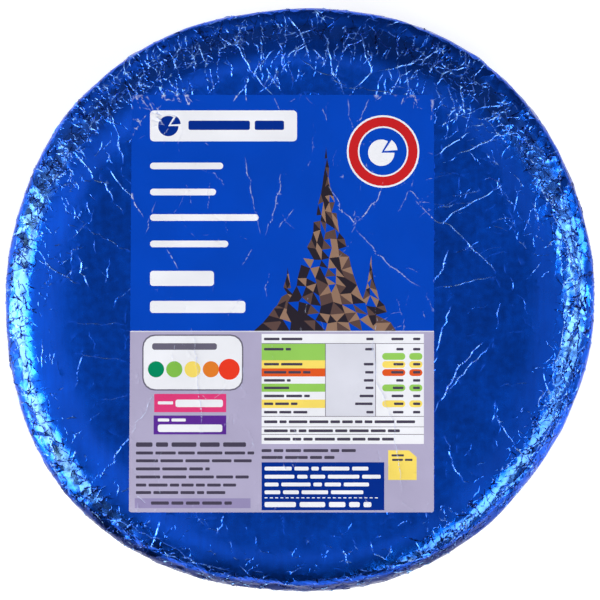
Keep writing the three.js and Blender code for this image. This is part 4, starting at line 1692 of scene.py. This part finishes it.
outline = label_outline()
loops = [in_steps(outline, EDGE_STEP)] + [in_steps(shape, EDGE_STEP) for _, shape in PRINT]
loops = [loops[0]] + [loop for loop in loops[1:] if inside(outline, loop).any()]
edge_points = np.concatenate(loops)
edges = []
for loop in loops:
    first = len(edges)
    edges += [(first + k, first + (k + 1) % len(loop)) for k in range(len(loop))]
label_rows = to_label(rows_along(creases))
label_rows = label_rows[inside(outline * INNER, label_rows)]
label_rows = clear_of(one_per_cell(label_rows, CELL), edge_points, ROW_GAP)
steps = np.arange(-HALF_LENGTH, HALF_LENGTH, LABEL_SPACING)
scatter = np.stack([grid.ravel() for grid in np.meshgrid(steps, steps)], 1)
scatter += print_rng.uniform(-LABEL_JITTER, LABEL_JITTER, scatter.shape) * LABEL_SPACING
scatter = scatter[inside(outline * INNER, scatter)]
scatter = clear_of(clear_of(scatter, edge_points, SCATTER_GAP), label_rows, SCATTER_GAP)
print("label points on outlines, on creases and between:", len(edge_points), len(label_rows), len(scatter))

# %% Triangulate the label and colour each triangle
MERGED = 1e-4
flat = np.concatenate([edge_points, label_rows, scatter])
places, _, faces, *_ = delaunay_2d_cdt([Vector(p) for p in flat.tolist()], edges, [], 0, MERGED, False)
places = np.array([tuple(p) for p in places])
faces = np.array(faces)
middles = places[faces].mean(1)
kept = inside(outline, middles)
faces, middles = faces[kept], middles[kept]
used, faces = np.unique(faces, return_inverse=True)
faces = faces.reshape(-1, 3)
places = places[used]
ink_names = sorted({ink for ink, _ in PRINT})
face_ink = np.zeros(len(faces), int)
for ink, shape in PRINT:
    face_ink[inside(shape, middles)] = ink_names.index(ink)
print("label triangles:", len(faces), "inks:", ink_names)

# %% Lay the label on the foil
LABEL_GAP = 0.12
LABEL_THICKNESS = 0.1
STEEPEST = 0.5
LABEL_SHARP_FROM = 60
# The flat layout that the finish is kept on has the printed side at the left, and the rest at the right.
BAKE_SPAN, BAKE_LIFT = 2.1 * HALF_LENGTH, 0.01
PRINT_WIDTH, PRINT_LEFT = 0.66, -0.06
BACK_WIDTH, BACK_RIGHT = 0.35, 0.99


def label_surface(places):
    """The label's upper side: points in mm on the foil's own heights, and each one's pale or dark crease
    mark.
    """
    plan = places + LABEL_CENTRE
    sheet_points = onto_sheet(plan)
    along, angle = polar(sheet_points)
    base, normals = on_wheel(along, angle)
    height = foil_relief(along, angle)
    crease_marks = np.zeros(len(along))
    for crease in creases:
        crease.add_to(sheet_points, height, crease_marks)
    up = base[:, 2] + height / np.maximum(normals[:, 2], STEEPEST) + LABEL_GAP + LABEL_THICKNESS
    return np.column_stack([plan, up]), crease_marks


def label_solid():
    """A closed thin solid: the printed side, the same triangles turned over below it, and a rim."""
    upper, crease_marks = label_surface(places)
    lower = upper - [0, 0, LABEL_THICKNESS]
    count = len(upper)
    sides = {}
    for a, b, c in faces.tolist():
        for edge in ((a, b), (b, c), (c, a)):
            if edge[::-1] in sides:
                del sides[edge[::-1]]
            else:
                sides[edge] = True
    rim = [(b, a, a + count, b + count) for a, b in sides]
    every_face = faces.tolist() + (faces[:, ::-1] + count).tolist() + rim
    mesh = bpy.data.meshes.new("label_film")
    mesh.from_pydata((np.concatenate([upper, lower]) * MM).tolist(), [], every_face)
    wear_and_painted_light = mesh.attributes.new("wear_and_painted_light", "FLOAT", "POINT")
    wear_and_painted_light.data.foreach_set("value", np.concatenate([crease_marks, crease_marks]))
    colours = np.array([INKS[name] for name in ink_names])
    per_face = np.concatenate([colours[face_ink], np.tile(INKS["film"], (len(faces) + len(rim), 1))])
    ink = mesh.attributes.new("ink", "FLOAT_COLOR", "FACE")
    ink.data.foreach_set("color", np.column_stack([per_face, np.ones(len(per_face))]).ravel())
    corners = np.concatenate([np.array(face) for face in every_face]) % count
    turned_over = np.repeat(np.arange(len(every_face)) >= len(faces), [len(face) for face in every_face])
    across = (places[corners] + HALF_LENGTH) / BAKE_SPAN + [0.0, BAKE_LIFT]
    across[:, 0] = across[:, 0] * PRINT_WIDTH + PRINT_LEFT
    across[turned_over, 0] = BACK_RIGHT - BACK_WIDTH * across[turned_over, 0]
    mesh.uv_layers.new(name="OFBake").data.foreach_set("uv", across.ravel())
    mesh.shade_smooth()
    mesh.set_sharp_from_angle(angle=math.radians(LABEL_SHARP_FROM))
    return mesh


# %% Inks
# How bright a perfectly white level face comes out under this studio's lights, in red, green and blue.
WHITE_PAPER_READS = np.array([1.19, 1.177, 0.951])


def ink(red, green, blue):
    """The reflectance of an ink that looks like this screen colour under the studio's light."""
    seen = np.array([red, green, blue]) / 255
    linear = np.where(seen < 0.04045, seen / 12.92, ((seen + 0.055) / 1.055) ** 2.4)
    return linear / WHITE_PAPER_READS


INKS = {
    "blue": ink(0, 68, 186),
    "lavender": ink(177, 170, 198),
    "dusk": ink(150, 140, 180),
    "white": ink(240, 240, 244),
    "pale_grey": ink(219, 219, 229),
    "grey": ink(105, 100, 118),
    "ink": ink(72, 66, 84),
    "navy": ink(0, 44, 138),
    "red": ink(200, 32, 36),
    "pink": ink(226, 62, 122),
    "purple": ink(92, 44, 146),
    "green": ink(150, 204, 92),
    "yellow": ink(250, 222, 104),
    "orange": ink(226, 88, 36),
    "deep_green": ink(0, 136, 92),
    "leaf_green": ink(132, 192, 76),
    "amber": ink(232, 128, 44),
    "scarlet": ink(238, 60, 36),
    "rock_dark": ink(40, 34, 44),
    "rock": ink(92, 70, 66),
    "rock_light": ink(150, 118, 98),
    "film": ink(225, 225, 232),
}
print("inks mixed:", len(INKS))

# %% Printed film
# Pale crease lines are partly wear and partly painted highlight; FILM_SHADE is the painted shade of the dark
# ones.
FILM_WEAR_AND_HIGHLIGHT = (0.5, 0.55, 0.9, 1)
FILM_SHADE = (0.02, 0.03, 0.12, 1)
FILM_PALE_MARKS, FILM_PALE_HIDES = (0.1, 0.7), (0.0, 0.85)
FILM_DARK_MARKS, FILM_DARK_HIDES = (-0.05, -0.5), (0.0, 0.6)
FILM_CLOUD, CLOUD_SCALE = (0.95, 1.05), 60.0
FILM_ROUGHNESS, FILM_PATCH_SCALE = (0.3, 0.5), 300.0
FILM_SHINE = 0.06
FILM_GRAIN_DEPTH, FILM_GRAIN_SCALE, FILM_GRAIN_STRENGTH = 0.0001, 900.0, 0.2


def printed_film():
    """The inks under a film that is a little cloudy, with the creases as pale lines, partly wear and partly
    painted highlight, and as dark lines of painted shade.
    """
    material, tree, shader = new_material("printed_film")
    place = place_in(tree)
    cloud = noise(tree, place, CLOUD_SCALE, 3.0, FILM_CLOUD)
    tinted = scaled(tree, stored(tree, "ink", "Color"), cloud)
    wear_and_painted_light = stored(tree, "wear_and_painted_light")
    lit = mixed(tree, ramp(tree, wear_and_painted_light, FILM_PALE_MARKS, FILM_PALE_HIDES), tinted, FILM_WEAR_AND_HIGHLIGHT)
    colour = mixed(tree, ramp(tree, wear_and_painted_light, FILM_DARK_MARKS, FILM_DARK_HIDES), lit, FILM_SHADE)
    tree.links.new(colour, shader.inputs["Base Color"])
    rough = noise(tree, place, FILM_PATCH_SCALE, 2.0, FILM_ROUGHNESS, (0.0, 1.0))
    tree.links.new(rough, shader.inputs["Roughness"])
    shader.inputs["Specular IOR Level"].default_value = FILM_SHINE
    fine = add(tree, "TexNoise", {"Vector": place, "Scale": FILM_GRAIN_SCALE, "Detail": 2.0}).outputs["Fac"]
    inputs = {"Height": fine, "Strength": FILM_GRAIN_STRENGTH, "Distance": FILM_GRAIN_DEPTH}
    tree.links.new(add(tree, "Bump", inputs).outputs["Normal"], shader.inputs["Normal"])
    return material


label = bpy.data.objects.new("label_film", label_solid())
bpy.context.scene.collection.objects.link(label)
label.data.materials.append(printed_film())
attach(label, "root")
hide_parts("label")
print("label finished, triangles:", sum(len(face.vertices) - 2 for face in label.data.polygons))
